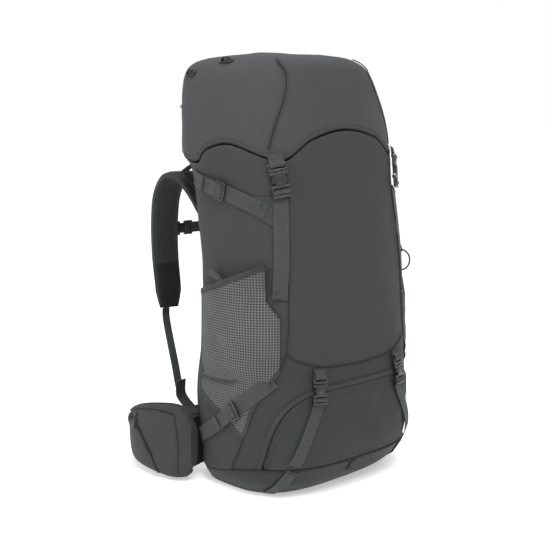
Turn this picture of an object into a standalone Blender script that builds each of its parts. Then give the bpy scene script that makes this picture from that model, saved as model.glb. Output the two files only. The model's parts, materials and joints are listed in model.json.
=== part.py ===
"""Hiking backpack of about 65 litres, in metres, +Z up.

The outer panel faces -Y, the harness and the wearer are at +Y, and the wearer's left is -X.
The origin is on the flat underside of the base. Every part of the bag is cut from one skin:
a stack of rounded-square sections, read at a turn (degrees round from the middle of the
front, positive towards the wearer's left) and a height. Straps and buckles lie on that skin.
"""

import math

import bmesh
import bpy
from mathutils import Vector

# Overall sizes
BAG_WIDTH = 0.366
BAG_DEPTH = 0.276
BAG_HEIGHT = 0.730
SQUARENESS = 3.0

# Walls and gaps
WALL = 0.003
LID_WALL = 0.004
SEAM_GAP = 0.0008
EDGE_GAP = 0.0012
LID_GAP = 0.003
ZIP_GAP = 0.003
TOUCH = 0.0005

# Webbing and buckles
STRAP_THICK = 0.0015
STRAP_LIFT = 0.0012
WIDE_STRAP = 0.025
SLIM_STRAP = 0.020
BUCKLE_LIFT = 0.0042
BUCKLE_THICK = 0.0050
RAIL = 0.0030
PRONG = 0.0030
PRONG_ROOM = 0.0014
PRONG_REACH = 0.74
SOCKET_LENGTH = 1.68
RELEASE_TRAVEL = 0.030
BUCKLE_OFFSET = 0.010

# Harness and hip belt
SHOULDER_WIDTH = 0.062
SHOULDER_THICK = 0.014
TORSO_TRAVEL = 0.025
WEBBING_FOOT = 0.1095
STERNUM_SHARE = 0.565
YOKE_LIFT = 0.0065
YOKE_THICK = 0.008
BELT_HEIGHT = 0.132
BELT_THICK = 0.016
BELT_POCKET = 0.038
POCKET_OUTSIDE = 0.40
WING_SQUARENESS = 2.7
LUMBAR_THICK = 0.016

# Frame, cords, pockets and pulls
FRAME_WIRE = 0.005
DRAWCORD = 0.003
TOOL_CORD = 0.003
POCKET_WALL = 0.0022
POCKET_BULGE = 0.015
DIVIDER_THICK = 0.003
DIVIDER_ROOM = 0.012
FRAME_ROOM = 0.007
PULL_WIDTH = 0.009
PULL_LENGTH = 0.030
PULL_THICK = 0.003

# Sections of the skin: share of the height, then of half the width, then the front and the
# back as shares of the depth
SECTIONS = (
    (0.000, 0.800, -0.440, 0.320),
    (0.020, 0.885, -0.535, 0.318),
    (0.041, 0.936, -0.598, 0.318),
    (0.110, 0.984, -0.692, 0.328),
    (0.219, 1.000, -0.670, 0.338),
    (0.356, 0.995, -0.627, 0.280),
    (0.521, 0.978, -0.601, 0.284),
    (0.603, 0.968, -0.576, 0.319),
    (0.685, 0.956, -0.547, 0.359),
    (0.740, 0.953, -0.536, 0.397),
    (0.757, 0.952, -0.533, 0.450),
    (0.774, 0.950, -0.530, 0.497),
    (0.822, 0.940, -0.511, 0.520),
    (0.877, 0.907, -0.481, 0.532),
    (0.918, 0.866, -0.453, 0.544),
    (0.945, 0.815, -0.431, 0.560),
    (0.973, 0.690, -0.395, 0.570),
    (0.990, 0.480, -0.280, 0.480),
    (1.000, 0.080, 0.060, 0.180),
)
# Lower edge of the lid: turn from the front, share of the height
LID_EDGE = (
    (0, 0.826),
    (28, 0.807),
    (43, 0.769),
    (50, 0.763),
    (74, 0.797),
    (92, 0.784),
    (104, 0.754),
    (125, 0.762),
    (145, 0.771),
    (180, 0.774),
)
BASE_EDGE_FRONT = 0.0795
BASE_EDGE_BACK = 0.041
ARCH_CROWN = 0.251
ARCH_TURN = 66.5
ARCH_SQUARENESS = 6.5
BACK_SEAM = 125.0
# Seam between the front and a side panel: share of the height, turn from the front
SIDE_SEAM = (
    (0.030, 89.0),
    (0.090, 84.0),
    (0.145, 77.5),
    (0.215, 70.0),
    (0.285, 60.5),
    (0.340, 54.5),
    (0.460, 53.0),
    (0.570, 51.5),
    (0.675, 49.0),
    (0.770, 48.0),
)

# Places on the skin: turn, share of the height
LID_BUCKLE = (52.5, 0.739)
FRONT_STRAP = ((52.5, 0.690), (55.0, 0.580), (57.5, 0.463))
LOWER_BUCKLE = (36.5, 0.272)
LOWER_STRAP = ((37.5, 0.222), (44.0, 0.150), (50.0, 0.092))
UPPER_COMPRESSION = ((111.0, 0.716), (98.0, 0.702), (86.0, 0.693), (72.0, 0.674), (60.5, 0.654))
LOWER_COMPRESSION = ((114.0, 0.118), (98.0, 0.158), (83.5, 0.201), (70.0, 0.248), (60.0, 0.286))
UPPER_LOCK = 0.50
LOWER_LOCK = 0.52
TOOL_LOOP = (61.7, 0.505)
HINGE_SHARE = 0.776
DIVIDER_SHARE = 0.322
COLLAR = (0.700, 0.812)

FABRIC = (0.072, 0.074, 0.078)
DARK_FABRIC = (0.042, 0.048, 0.048)
LINING = (0.060, 0.062, 0.064)
WEBBING = (0.062, 0.070, 0.072)
MESH = (0.110, 0.118, 0.120)
PADDING = (0.030, 0.034, 0.035)
PLASTIC = (0.050, 0.052, 0.054)
STEEL = (0.300, 0.310, 0.320)

LEFT = 1
RIGHT = -1
SIDES = ((LEFT, "left"), (RIGHT, "right"))


def clear_scene():
    for old in list(bpy.data.objects):
        bpy.data.objects.remove(old)


def smooth(table, at, column):
    """One column of a table, read between its rows on a smooth curve."""
    at = min(max(at, table[0][0]), table[-1][0])
    last = len(table) - 1
    row = next(i for i in range(last) if at <= table[i + 1][0])

    def slope(i):
        before, after = table[max(i - 1, 0)], table[min(i + 1, last)]
        return (after[column] - before[column]) / (after[0] - before[0])

    span = table[row + 1][0] - table[row][0]
    t = (at - table[row][0]) / span
    return (
        table[row][column] * (2 * t**3 - 3 * t**2 + 1)
        + table[row + 1][column] * (3 * t**2 - 2 * t**3)
        + slope(row) * span * (t**3 - 2 * t**2 + t)
        + slope(row + 1) * span * (t**3 - t**2)
    )


def spread(low, high, count):
    return [low + (high - low) * i / count for i in range(count + 1)]


def section(height):
    """Half width, middle and half depth of the skin at a height."""
    share = height / BAG_HEIGHT
    half_width = smooth(SECTIONS, share, 1) * BAG_WIDTH / 2
    front = smooth(SECTIONS, share, 2) * BAG_DEPTH
    back = smooth(SECTIONS, share, 3) * BAG_DEPTH
    return half_width, (front + back) / 2, (back - front) / 2


def skin(turn, height):
    half_width, middle, half_depth = section(height)
    s, c = math.sin(math.radians(turn)), math.cos(math.radians(turn))
    across = abs(s / half_width) ** SQUARENESS + abs(c / half_depth) ** SQUARENESS
    r = across ** (-1 / SQUARENESS)
    return Vector((-r * s, middle - r * c, height))


def outward(turn, height):
    height = min(max(height, 0.001), BAG_HEIGHT - 0.001)
    round_it = skin(turn - 1, height) - skin(turn + 1, height)
    up_it = skin(turn, height + 0.001) - skin(turn, height - 0.001)
    return round_it.cross(up_it).normalized()


def on_skin(turn, height, lift=0.0):
    return skin(turn, height) + outward(turn, height) * lift


def back_y(x, height):
    half_width, middle, half_depth = section(height)
    inside = max(1 - abs(x / half_width) ** SQUARENESS, 0.0)
    return middle + half_depth * inside ** (1 / SQUARENESS)


def from_front(turn):
    turn = abs(turn) % 360
    return min(turn, 360 - turn)


def lid_edge(turn):
    return smooth(LID_EDGE, from_front(turn), 1) * BAG_HEIGHT


def base_edge(turn):
    along = min(max((from_front(turn) - 60) / 50, 0), 1)
    ease = (1 - math.cos(math.pi * along)) / 2
    return (BASE_EDGE_FRONT + (BASE_EDGE_BACK - BASE_EDGE_FRONT) * ease) * BAG_HEIGHT


def side_seam(height):
    """Turn of the seam between the front panel and a side panel, which flares at the base."""
    return smooth(SIDE_SEAM, height / BAG_HEIGHT, 1)


def zip_arch(turn):
    """Height of the arched zip that closes the sleeping-bag compartment."""
    bow = max(1 - (abs(turn) / ARCH_TURN) ** ARCH_SQUARENESS, 0)
    return (BASE_EDGE_FRONT + (ARCH_CROWN - BASE_EDGE_FRONT) * bow) * BAG_HEIGHT


def material(name, colour, roughness=0.85, metallic=0.0):
    found = bpy.data.materials.get(name)
    if found:
        return found
    made = bpy.data.materials.new(name)
    made.use_nodes = True
    shader = made.node_tree.nodes["Principled BSDF"]
    shader.inputs["Base Color"].default_value = (*colour, 1.0)
    shader.inputs["Roughness"].default_value = roughness
    shader.inputs["Metallic"].default_value = metallic
    return made


def add_object(name, data, finish, origin=None):
    """Put a mesh or curve in the scene, with the object's origin at a chosen point."""
    made = bpy.data.objects.new(name, data)
    bpy.context.scene.collection.objects.link(made)
    data.materials.append(finish)
    if origin is not None:
        if made.type == "MESH":
            data.transform(made.matrix_world.Translation(-Vector(origin)))
        made.location = origin
    return made


def solid(name, points, faces, finish, origin=None):
    """A closed mesh from points and faces, its faces turned to point out."""
    mesh = bpy.data.meshes.new(name)
    mesh.from_pydata([tuple(p) for p in points], [], faces)
    shape = bmesh.new()
    shape.from_mesh(mesh)
    bmesh.ops.recalc_face_normals(shape, faces=shape.faces)
    bmesh.ops.triangulate(shape, faces=shape.faces)
    shape.to_mesh(mesh)
    shape.free()
    mesh.shade_smooth()
    mesh.set_sharp_from_angle(angle=math.radians(35))
    return add_object(name, mesh, finish, origin)


def ring_stack(name, rings, finish, closed=False, origin=None):
    """A skin over rings of equal count: capped at both ends, or joined round to the first."""
    count = len(rings[0])
    points = [p for ring in rings for p in ring]
    faces = []
    for k in range(len(rings) if closed else len(rings) - 1):
        low, high = k * count, (k + 1) % len(rings) * count
        for i in range(count):
            j = (i + 1) % count
            faces.append((low + i, low + j, high + j, high + i))
    if not closed:
        faces.append(tuple(range(count))[::-1])
        faces.append(tuple(range(len(points) - count, len(points))))
    return solid(name, points, faces, finish, origin)


def lattice(name, us, vs, filled, place, finish, origin=None):
    """A plate of grid cells, with a hole wherever filled(u, v) says no, put in space by place."""
    index, points, faces = {}, [], []

    def corner(i, j, w):
        if (i, j, w) not in index:
            index[i, j, w] = len(points)
            points.append(place(us[i], vs[j], w))
        return index[i, j, w]

    cells = {
        (i, j)
        for i in range(len(us) - 1)
        for j in range(len(vs) - 1)
        if filled((us[i] + us[i + 1]) / 2, (vs[j] + vs[j + 1]) / 2)
    }
    for i, j in sorted(cells):
        around = ((i, j), (i + 1, j), (i + 1, j + 1), (i, j + 1))
        faces.append([corner(a, b, 1) for a, b in around])
        faces.append([corner(a, b, 0) for a, b in reversed(around)])
        beyond = ((i, j - 1), (i + 1, j), (i, j + 1), (i - 1, j))
        for k, other in enumerate(beyond):
            if other not in cells:
                (a, b), (c, d) = around[k], around[(k + 1) % 4]
                faces.append([corner(a, b, 0), corner(c, d, 0), corner(c, d, 1), corner(a, b, 1)])
    return solid(name, points, faces, finish, origin)


def patch(name, left, right, low, high, columns, rows, inner, outer, finish, origin=None):
    """A panel of the skin between two turns and two heights, each of which may follow a curve."""

    def place(u, v, w):
        turn = left((low(0) + high(0)) / 2) * (1 - u) + right((low(0) + high(0)) / 2) * u
        for _ in range(4):
            height = low(turn) * (1 - v) + high(turn) * v
            turn = left(height) * (1 - u) + right(height) * u
        lift = outer(u, v) if w else inner(u, v)
        return on_skin(turn, height, lift)

    us, vs = spread(0, 1, columns), spread(0, 1, rows)
    return lattice(name, us, vs, lambda u, v: True, place, finish, origin)


def rectangles(name, parts, place, finish, step=None, origin=None):
    """A flat piece joined from rectangles (u0, u1, v0, v1), cut finer than step along u."""
    us = sorted({round(u, 6) for part in parts for u in part[:2]})
    vs = sorted({round(v, 6) for part in parts for v in part[2:]})
    if step:
        finer = []
        for a, b in zip(us, us[1:]):
            finer += spread(a, b, max(1, math.ceil((b - a) / step)))[:-1]
        us = finer + us[-1:]

    def filled(u, v):
        return any(p[0] < u < p[1] and p[2] < v < p[3] for p in parts)

    return lattice(name, us, vs, filled, place, finish, origin)


def along_skin(stations, side, width, low, high):
    """Places a strap on the skin along turn and height stations: u runs 0 to 1, v -1 to 1."""
    table = [(i / (len(stations) - 1), s[0], s[1]) for i, s in enumerate(stations)]

    def centre(u):
        return side * smooth(table, u, 1), smooth(table, u, 2) * BAG_HEIGHT

    def place(u, v, w):
        before, after = on_skin(*centre(max(u - 0.02, 0))), on_skin(*centre(min(u + 0.02, 1)))
        ahead = (after - before).normalized()
        normal = outward(*centre(u))
        across = normal.cross(ahead).normalized()
        return on_skin(*centre(u), high if w else low) + across * (v * width / 2)

    return place


def skin_frame(turn, share, side, down=0.050, up=0.012):
    """Point on the skin with the unit vectors right, up and out of a plate laid on it."""
    height = share * BAG_HEIGHT
    turn = side * turn
    ahead = (skin(turn, height + up) - skin(turn, height - down)).normalized()
    normal = outward(turn, height)
    right = ahead.cross(normal).normalized()
    return skin(turn, height), right, ahead, right.cross(ahead).normalized()


def flat_on(frame, lift, thick):
    """Places a rigid plate on a frame: u along up, v along right, w out."""
    point, right, up, normal = frame
    return lambda u, v, w: point + up * u + right * v + normal * (lift + thick * w)


def plug_outline(strap, tail):
    """Upper half of a side-release buckle: bar, slot, neck, guide and two prongs, plus webbing."""
    half = strap / 2 + RAIL
    inner = half - RAIL - PRONG_ROOM
    reach = PRONG_REACH * strap
    return (
        (0.0000, 0.0045, -half + 0.001, half - 0.001),
        (0.0045, 0.0095, -half, -half + RAIL),
        (0.0045, 0.0095, half - RAIL, half),
        (0.0095, 0.0130, -half, half),
        (0.0130, 0.0130 + tail, -strap / 2, strap / 2),
        (0.002 - reach, 0.0000, -0.0025, 0.0025),
        (-reach, 0.0000, -inner, -inner + PRONG),
        (-reach, 0.0000, inner - PRONG, inner),
    )


def socket_outline(strap, ladder=True):
    """Lower half of a side-release buckle: rails round the prongs, then a ladder for the strap."""
    half = strap / 2 + RAIL
    inner = half - RAIL
    long = SOCKET_LENGTH * strap
    end = long if ladder else 0.63 * long
    parts = [
        (-end, -0.0010, -half, -half + RAIL),
        (-end, -0.0010, half - RAIL, half),
        (-0.63 * long, -0.51 * long, -inner, inner),
    ]
    if ladder:
        parts.append((-0.84 * long, -0.75 * long, -inner, inner))
        parts.append((-long, -0.915 * long, -inner, inner))
    return parts


def ladder_outline(strap, long=0.021):
    """Ladder-lock: a frame with a middle bar, centred on 0."""
    half = strap / 2 + RAIL
    bar = 0.0030
    return (
        (-long / 2, long / 2, -half, -half + RAIL),
        (-long / 2, long / 2, half - RAIL, half),
        (-long / 2, -long / 2 + bar, -half + RAIL, half - RAIL),
        (-bar / 2, bar / 2, -half + RAIL, half - RAIL),
        (long / 2 - bar, long / 2, -half + RAIL, half - RAIL),
    )


def tube(name, points, radius, finish, cyclic=False):
    curve = bpy.data.curves.new(name, "CURVE")
    curve.dimensions = "3D"
    curve.bevel_depth = radius
    curve.bevel_resolution = 2
    curve.use_fill_caps = not cyclic
    spline = curve.splines.new("POLY")
    spline.points.add(len(points) - 1)
    for slot, point in zip(spline.points, points):
        slot.co = (*point, 1.0)
    spline.use_cyclic_u = cyclic
    return add_object(name, curve, finish)


def eased(points, count):
    """Evenly numbered places on a smooth curve through a few points."""
    table = [(i / (len(points) - 1), *p) for i, p in enumerate(points)]
    return [Vector([smooth(table, t, k) for k in (1, 2, 3)]) for t in spread(0, 1, count)]


def cushion(name, centres, facing, half_widths, half_thicks, finish, origin=None, corners=12, square=4):
    """A padded strip along centres: rounded sections across it, facing outwards from it."""
    rings = []
    for i, centre in enumerate(centres):
        ahead = centres[min(i + 1, len(centres) - 1)] - centres[max(i - 1, 0)]
        out = facing(i)
        across = out.cross(ahead).normalized()
        out = ahead.cross(across).normalized()
        ring = []
        for k in range(corners):
            angle = 2 * math.pi * (k + 0.5) / corners
            c, s = math.cos(angle), math.sin(angle)
            r = (abs(c) ** square + abs(s) ** square) ** (-1 / square)
            front, back = half_thicks(i)
            thick = front if s > 0 else back
            ring.append(centre + across * (half_widths(i) * r * c) + out * (thick * r * s))
        rings.append(ring)
    return ring_stack(name, rings, finish, origin=origin)


def build_base():
    around = spread(0, 360, 40)[:-1]

    def ring(share_of_wall, lift):
        return [on_skin(t, share_of_wall * (base_edge(t) - EDGE_GAP), lift) for t in around]

    floor = []
    for turn in around:
        inner = on_skin(turn, WALL + 0.001, -WALL * 2)
        floor.append(Vector((inner.x, inner.y, WALL)))
    foot = [skin(t, 0) for t in around]
    rings = [foot, ring(0.3, 0), ring(0.65, 0), ring(1, 0), ring(1, -WALL), ring(0.65, -WALL), floor]
    ring_stack("base_panel", rings, material("dark_fabric", DARK_FABRIC))


def build_panels():
    finish = material("fabric", FABRIC)
    half_gap = math.degrees(SEAM_GAP / BAG_WIDTH)

    def high(turn):
        return lid_edge(turn) - LID_GAP

    def low(turn):
        return base_edge(turn) + EDGE_GAP / 2

    def face(u, v):
        return 0.0

    def lining(u, v):
        return -WALL

    front = patch(
        "front_panel",
        lambda z: half_gap - side_seam(z),
        lambda z: side_seam(z) - half_gap,
        low, high, 14, 14, lining, face, finish,
    )
    cut_arch(front)
    for side, word in SIDES:
        patch(
            f"side_panel_{word}",
            lambda z: side * (side_seam(z) + half_gap),
            lambda z: side * (BACK_SEAM - half_gap),
            low, high, 8, 14, lining, face, finish,
        )
    patch(
        "back_wall",
        lambda z: BACK_SEAM + half_gap,
        lambda z: 360 - BACK_SEAM - half_gap,
        low, high, 10, 12, lining, face, material("lining", LINING),
    )


def cut_arch(panel):
    """Cut the way into the sleeping-bag compartment out of the front panel."""
    reach = 0.020
    wider = 1 + math.degrees(ZIP_GAP / BAG_WIDTH) * 2 / ARCH_TURN

    def place(u, v, w):
        turn = ARCH_TURN * math.sin(math.radians(90 * u))
        top = zip_arch(turn) + ZIP_GAP
        height = (base_edge(0) - reach) * (1 - v) + top * v
        return on_skin(turn * wider, height, reach if w else -reach)

    cutter = lattice(
        "arch_cutter", spread(-1, 1, 20), spread(0, 1, 3), lambda u, v: True, place,
        material("fabric", FABRIC),
    )
    cutter.hide_render = True
    cutter.display_type = "WIRE"
    cut = panel.modifiers.new("arch", "BOOLEAN")
    cut.operation = "DIFFERENCE"
    cut.object = cutter


def flap_hinge():
    """Point on the hinge line of the compartment flap, at the front of its lower edge."""
    height = BASE_EDGE_FRONT * BAG_HEIGHT + EDGE_GAP
    return Vector((0, skin(0, height).y - TOUCH, height))


def build_flap():
    reach = 0.985

    def place(u, v, w):
        turn = ARCH_TURN * reach * math.sin(math.radians(90 * u))
        height = flap_hinge().z * (1 - v) + zip_arch(turn) * v
        return on_skin(turn, height, 0 if w else -WALL)

    lattice(
        "compartment_panel", spread(-1, 1, 14), spread(0, 1, 5), lambda u, v: True, place,
        material("dark_fabric", DARK_FABRIC), flap_hinge(),
    )


def build_divider():
    height = DIVIDER_SHARE * BAG_HEIGHT
    edge = []
    for turn in spread(0, 360, 28)[:-1]:
        lift = -WALL - DIVIDER_ROOM - (FRAME_ROOM if from_front(turn) > 120 else 0)
        edge.append(on_skin(turn, height, lift))
    rings = [[Vector((p.x, p.y, height + lift)) for p in edge] for lift in (0, DIVIDER_THICK)]
    back = max(p.y for p in edge)
    ring_stack(
        "floating_divider", rings, material("lining", LINING), origin=(0, back, height)
    )


def build_collar():
    around = spread(0, 360, 36)[:-1]
    low, high = (share * BAG_HEIGHT for share in COLLAR)
    thick = 0.002
    tuck = 0.018

    def lift(height):
        return -WALL - 0.002 - tuck * (height - low) / (high - low)

    outside = [[on_skin(t, z, lift(z)) for t in around] for z in spread(low, high, 3)]
    inside = [[on_skin(t, z, lift(z) - thick) for t in around] for z in spread(high, low, 3)]
    ring_stack("snow_collar", outside + inside, material("lining", LINING), closed=True)

    level = high - 0.006
    lock_half, lock_depth = 0.009, 0.0040
    clear = lift(level) + lock_depth + TOUCH * 2
    first = math.degrees(lock_half / abs(skin(0, level).y))
    cord = [on_skin(t, level, clear) for t in spread(first, 360 - first, 32)]
    tube("collar_drawcord", cord, DRAWCORD / 2, material("webbing", WEBBING))
    front = on_skin(0, level, clear)
    size = Vector((lock_half - 0.0012, lock_depth, 0.007))
    rings = [
        [front + Vector((x, size.y * math.cos(a), size.z * math.sin(a)))
         for a in (math.radians(45 * k) for k in range(8))]
        for x in (-size.x, size.x)
    ]
    ring_stack("cord_lock", rings, material("plastic", PLASTIC, 0.5))


def lid_hinge():
    height = HINGE_SHARE * BAG_HEIGHT
    return Vector((0, back_y(0, height) + 0.002, height))


def build_lid():
    around = spread(0, 360, 40)[:-1]
    climb = [math.sin(math.radians(90 * t)) for t in spread(0, 0.965, 7)]

    def ring(t, lift):
        return [on_skin(a, lid_edge(a) + (BAG_HEIGHT - lid_edge(a)) * t, lift) for a in around]

    rings = [ring(t, 0) for t in reversed(climb)] + [ring(t, -LID_WALL) for t in climb]
    ring_stack("lid_shell", rings, material("fabric", FABRIC), origin=lid_hinge())

    height = max(share for _, share in LID_EDGE) * BAG_HEIGHT + 0.010
    edge = [on_skin(a, height, -LID_WALL - 0.0025) for a in around]
    rings = [[Vector((p.x, p.y, height + lift)) for p in edge] for lift in (0, WALL)]
    ring_stack("lid_floor", rings, material("lining", LINING), origin=lid_hinge())


def build_pockets():
    finish = material("mesh", MESH, 0.7)
    top = ((61, 0.545), (84, 0.502), (108, 0.463))
    foot = ((56, 0.326), (84, 0.243), (112, 0.236))
    for side, word in SIDES:

        def front(height):
            ease = min(max((height / BAG_HEIGHT - 0.42) / 0.04, 0), 1)
            return side * (57.5 + 6.5 * ease)

        def bulge(u, v):
            return POCKET_BULGE * math.sin(math.pi * u) ** 0.55 * min(1, 0.45 + v) * min(1, 5 * v)

        patch(
            f"side_pocket_{word}",
            front,
            lambda z: side * 109,
            lambda turn: smooth(foot, from_front(turn), 1) * BAG_HEIGHT,
            lambda turn: smooth(top, from_front(turn), 1) * BAG_HEIGHT,
            9, 9,
            lambda u, v: TOUCH * 2 + bulge(u, v),
            lambda u, v: TOUCH * 2 + POCKET_WALL + bulge(u, v),
            finish,
        )


def build_frame_and_back():
    low, high = 0.065, 0.655
    half, corner = 0.70 * BAG_WIDTH / 2, 0.045
    path = []
    centres = (
        (half - corner, high * BAG_HEIGHT - corner, 0),
        (corner - half, high * BAG_HEIGHT - corner, 90),
        (corner - half, low * BAG_HEIGHT + corner, 180),
        (half - corner, low * BAG_HEIGHT + corner, 270),
    )
    for k, (x, z, start) in enumerate(centres):
        for a in spread(start, start + 90, 5):
            angle = math.radians(a)
            path.append((x + corner * math.cos(angle), z + corner * math.sin(angle)))
        next_x, next_z, next_start = centres[(k + 1) % 4]
        angle = math.radians(next_start)
        end = (next_x + corner * math.cos(angle), next_z + corner * math.sin(angle))
        begin = path[-1]
        for t in spread(0, 1, 6)[1:-1]:
            path.append((begin[0] + (end[0] - begin[0]) * t, begin[1] + (end[1] - begin[1]) * t))
    inside = WALL + FRAME_WIRE / 2 + 0.003
    points = [Vector((x, back_y(x, z) - inside, z)) for x, z in path]
    tube("perimeter_frame", points, FRAME_WIRE / 2, material("steel", STEEL, 0.35, 1.0), True)

    def steady(value):
        return lambda *_: value

    patch(
        "back_mesh", steady(146), steady(214), steady(0.185 * BAG_HEIGHT),
        steady(0.455 * BAG_HEIGHT), 8, 6, steady(TOUCH * 2), steady(0.008), material("mesh", MESH),
    )
    patch(
        "lumbar_pad", steady(134), steady(226), steady(0.040 * BAG_HEIGHT),
        steady(0.178 * BAG_HEIGHT), 8, 4, steady(TOUCH * 2), steady(LUMBAR_THICK),
        material("padding", PADDING),
    )
    level = 0.732 * BAG_HEIGHT
    start = back_y(0, level + 0.010) + 0.007
    arc = [
        Vector((0.030 * math.cos(a), start + 0.024 * math.sin(a), level))
        for a in (math.radians(d) for d in spread(0, 180, 10))
    ]
    rings = []
    for i, point in enumerate(arc):
        out = (point - Vector((0, start, level))).normalized()
        rings.append([
            point + out * (x * STRAP_THICK / 2) + Vector((0, 0, z * 0.0075))
            for x, z in ((-1, -1), (1, -1), (1, 1), (-1, 1))
        ])
    ring_stack("haul_loop", rings, material("webbing", WEBBING))


def strap(name, stations, side, width, finish, lift=STRAP_LIFT, origin=None):
    place = along_skin(stations, side, width, lift, lift + STRAP_THICK)
    lattice(name, spread(0, 1, 10), [-1, 1], lambda u, v: True, place, finish, origin)


def build_straps():
    webbing = material("webbing", WEBBING)
    plastic = material("plastic", PLASTIC, 0.5)
    for side, word in SIDES:
        strap(f"front_strap_{word}", FRONT_STRAP, side, WIDE_STRAP, webbing)
        strap(f"compartment_strap_{word}", LOWER_STRAP, side, SLIM_STRAP, webbing, origin=flap_hinge())
        for level, stations, where in (
            ("upper", UPPER_COMPRESSION, UPPER_LOCK),
            ("lower", LOWER_COMPRESSION, LOWER_LOCK),
        ):
            lift = STRAP_LIFT * max(1, BAG_WIDTH / 0.366) ** 2
            strap(f"{level}_compression_strap_{word}", stations, side, WIDE_STRAP, webbing, lift)
            table = [(i / (len(stations) - 1), *s) for i, s in enumerate(stations)]
            turn, share = smooth(table, where, 1), smooth(table, where, 2)
            ahead = [
                on_skin(side * smooth(table, where + d, 1), smooth(table, where + d, 2) * BAG_HEIGHT)
                for d in (-0.1, 0.1)
            ]
            height = share * BAG_HEIGHT
            normal = outward(side * turn, height)
            up = (ahead[1] - ahead[0]).normalized()
            right = up.cross(normal).normalized()
            frame = (skin(side * turn, height), right, up, right.cross(up).normalized())
            rectangles(
                f"{level}_compression_ladderlock_{word}", ladder_outline(WIDE_STRAP),
                flat_on(frame, lift + STRAP_THICK + 0.0012, 0.0035), plastic,
            )
        frame = skin_frame(*LID_BUCKLE, side)
        place = flat_on(frame, BUCKLE_LIFT, BUCKLE_THICK)
        rectangles(
            f"lid_buckle_plug_{word}", plug_outline(WIDE_STRAP, 0.012), place, plastic,
            origin=lid_hinge(),
        )
        rectangles(
            f"lid_buckle_socket_{word}", socket_outline(WIDE_STRAP), place, plastic,
            origin=frame[0],
        )
        frame = skin_frame(*LOWER_BUCKLE, side)
        place = flat_on(frame, BUCKLE_LIFT, BUCKLE_THICK)
        rectangles(
            f"compartment_buckle_plug_{word}", plug_outline(SLIM_STRAP, 0.010), place, plastic
        )
        rectangles(
            f"compartment_buckle_socket_{word}", socket_outline(SLIM_STRAP), place, plastic,
            origin=frame[0],
        )
        turn, share = TOOL_LOOP
        turn += math.degrees((WIDE_STRAP - 0.025) / BAG_WIDTH) * 1.5
        height = share * BAG_HEIGHT
        reach = 0.018
        points = []
        for d in spread(0, 180, 14):
            a = math.radians(d)
            lift = TOOL_CORD / 2 + TOUCH + 0.016 * math.sin(a)
            points.append(on_skin(side * turn, height + reach * math.cos(a), lift))
        tube(f"tool_loop_{word}", points, TOOL_CORD / 2, webbing)


def shoulder_line(side):
    """Centres of a shoulder strap, from the yoke over the shoulder and down to its end."""
    base = back_y(0, 0.60 * BAG_HEIGHT)
    route = (
        (-0.060, 0.026, 0.592),
        (-0.072, 0.040, 0.650),
        (-0.086, 0.063, 0.695),
        (-0.096, 0.092, 0.703),
        (-0.102, 0.112, 0.660),
        (-0.103, 0.120, 0.590),
        (-0.105, 0.117, 0.505),
        (-0.106, 0.109, 0.430),
        (-0.108, 0.104, 0.376),
    )
    return eased([(side * x, base + y, share * BAG_HEIGHT) for x, y, share in route], 20)


def build_harness():
    webbing = material("webbing", WEBBING)
    plastic = material("plastic", PLASTIC, 0.5)
    padding = material("padding", PADDING)

    def steady(value):
        return lambda *_: value

    patch(
        "yoke", steady(151), steady(209), steady(0.515 * BAG_HEIGHT), steady(0.585 * BAG_HEIGHT),
        6, 4, steady(YOKE_LIFT), steady(YOKE_LIFT + YOKE_THICK), padding,
    )
    for side, word in SIDES:
        line = shoulder_line(side)
        last = len(line) - 1

        def facing(i):
            ahead = line[min(i + 1, last)] - line[max(i - 1, 0)]
            return Vector((1, 0, 0)).cross(ahead)

        def half_width(i):
            ends = min(1, 0.76 + 0.12 * min(i, last - i))
            return SHOULDER_WIDTH / 2 * (1 - 0.18 * i / last) * ends

        def half_thick(i):
            ends = min(1, 0.55 + 0.25 * min(i, last - i))
            return (SHOULDER_THICK / 2 * ends,) * 2

        cushion(f"shoulder_strap_{word}", line, facing, half_width, half_thick, padding)
        foot = line[-1]
        lock = (
            foot + Vector((0, SHOULDER_THICK / 2 + TOUCH, 0.016)),
            Vector((1, 0, 0)), Vector((0, 0.13, 1)).normalized(), Vector((0, 1, -0.13)).normalized(),
        )
        rectangles(
            f"shoulder_ladderlock_{word}", ladder_outline(SLIM_STRAP, 0.026),
            flat_on(lock, 0.0022 * max(1, 0.730 / BAG_HEIGHT) ** 3, 0.004), plastic,
        )
        anchor = on_skin(side * 127, WEBBING_FOOT, 0.004)
        turn_in = anchor + Vector((side * -0.001, 0.040, 0.022))
        begin = foot + Vector((0, SHOULDER_THICK / 2 + 0.003, -0.002))
        route = eased(
            [begin, begin + Vector((side * -0.004, -0.007, -0.024)),
             begin.lerp(turn_in, 0.60) + Vector((0, 0.004, 0)), turn_in, anchor], 14,
        )
        ribbon(f"shoulder_webbing_{word}", route, Vector((1, 0.25 * side, 0)), SLIM_STRAP, webbing)
        top = line[6] + Vector((0, 0, SHOULDER_THICK / 2 + 0.003))
        hold = Vector((side * -0.100, back_y(0.090, 0.750 * BAG_HEIGHT) + 0.007, 0.740 * BAG_HEIGHT))
        route = eased([top, top.lerp(hold, 0.5), hold], 4)
        ribbon(f"load_lifter_{word}", route, Vector((1, 0, 0)), SLIM_STRAP * 0.8, webbing)


def ribbon(name, route, across, width, finish, origin=None):
    """Free webbing along a route, its width kept close to one direction."""
    rings = []
    for i, point in enumerate(route):
        ahead = (route[min(i + 1, len(route) - 1)] - route[max(i - 1, 0)]).normalized()
        wide = (across - ahead * across.dot(ahead)).normalized()
        out = ahead.cross(wide)
        rings.append([
            point + wide * (x * width / 2) + out * (y * STRAP_THICK / 2)
            for x, y in ((-1, -1), (1, -1), (1, 1), (-1, 1))
        ])
    ring_stack(name, rings, finish, origin=origin)


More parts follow.
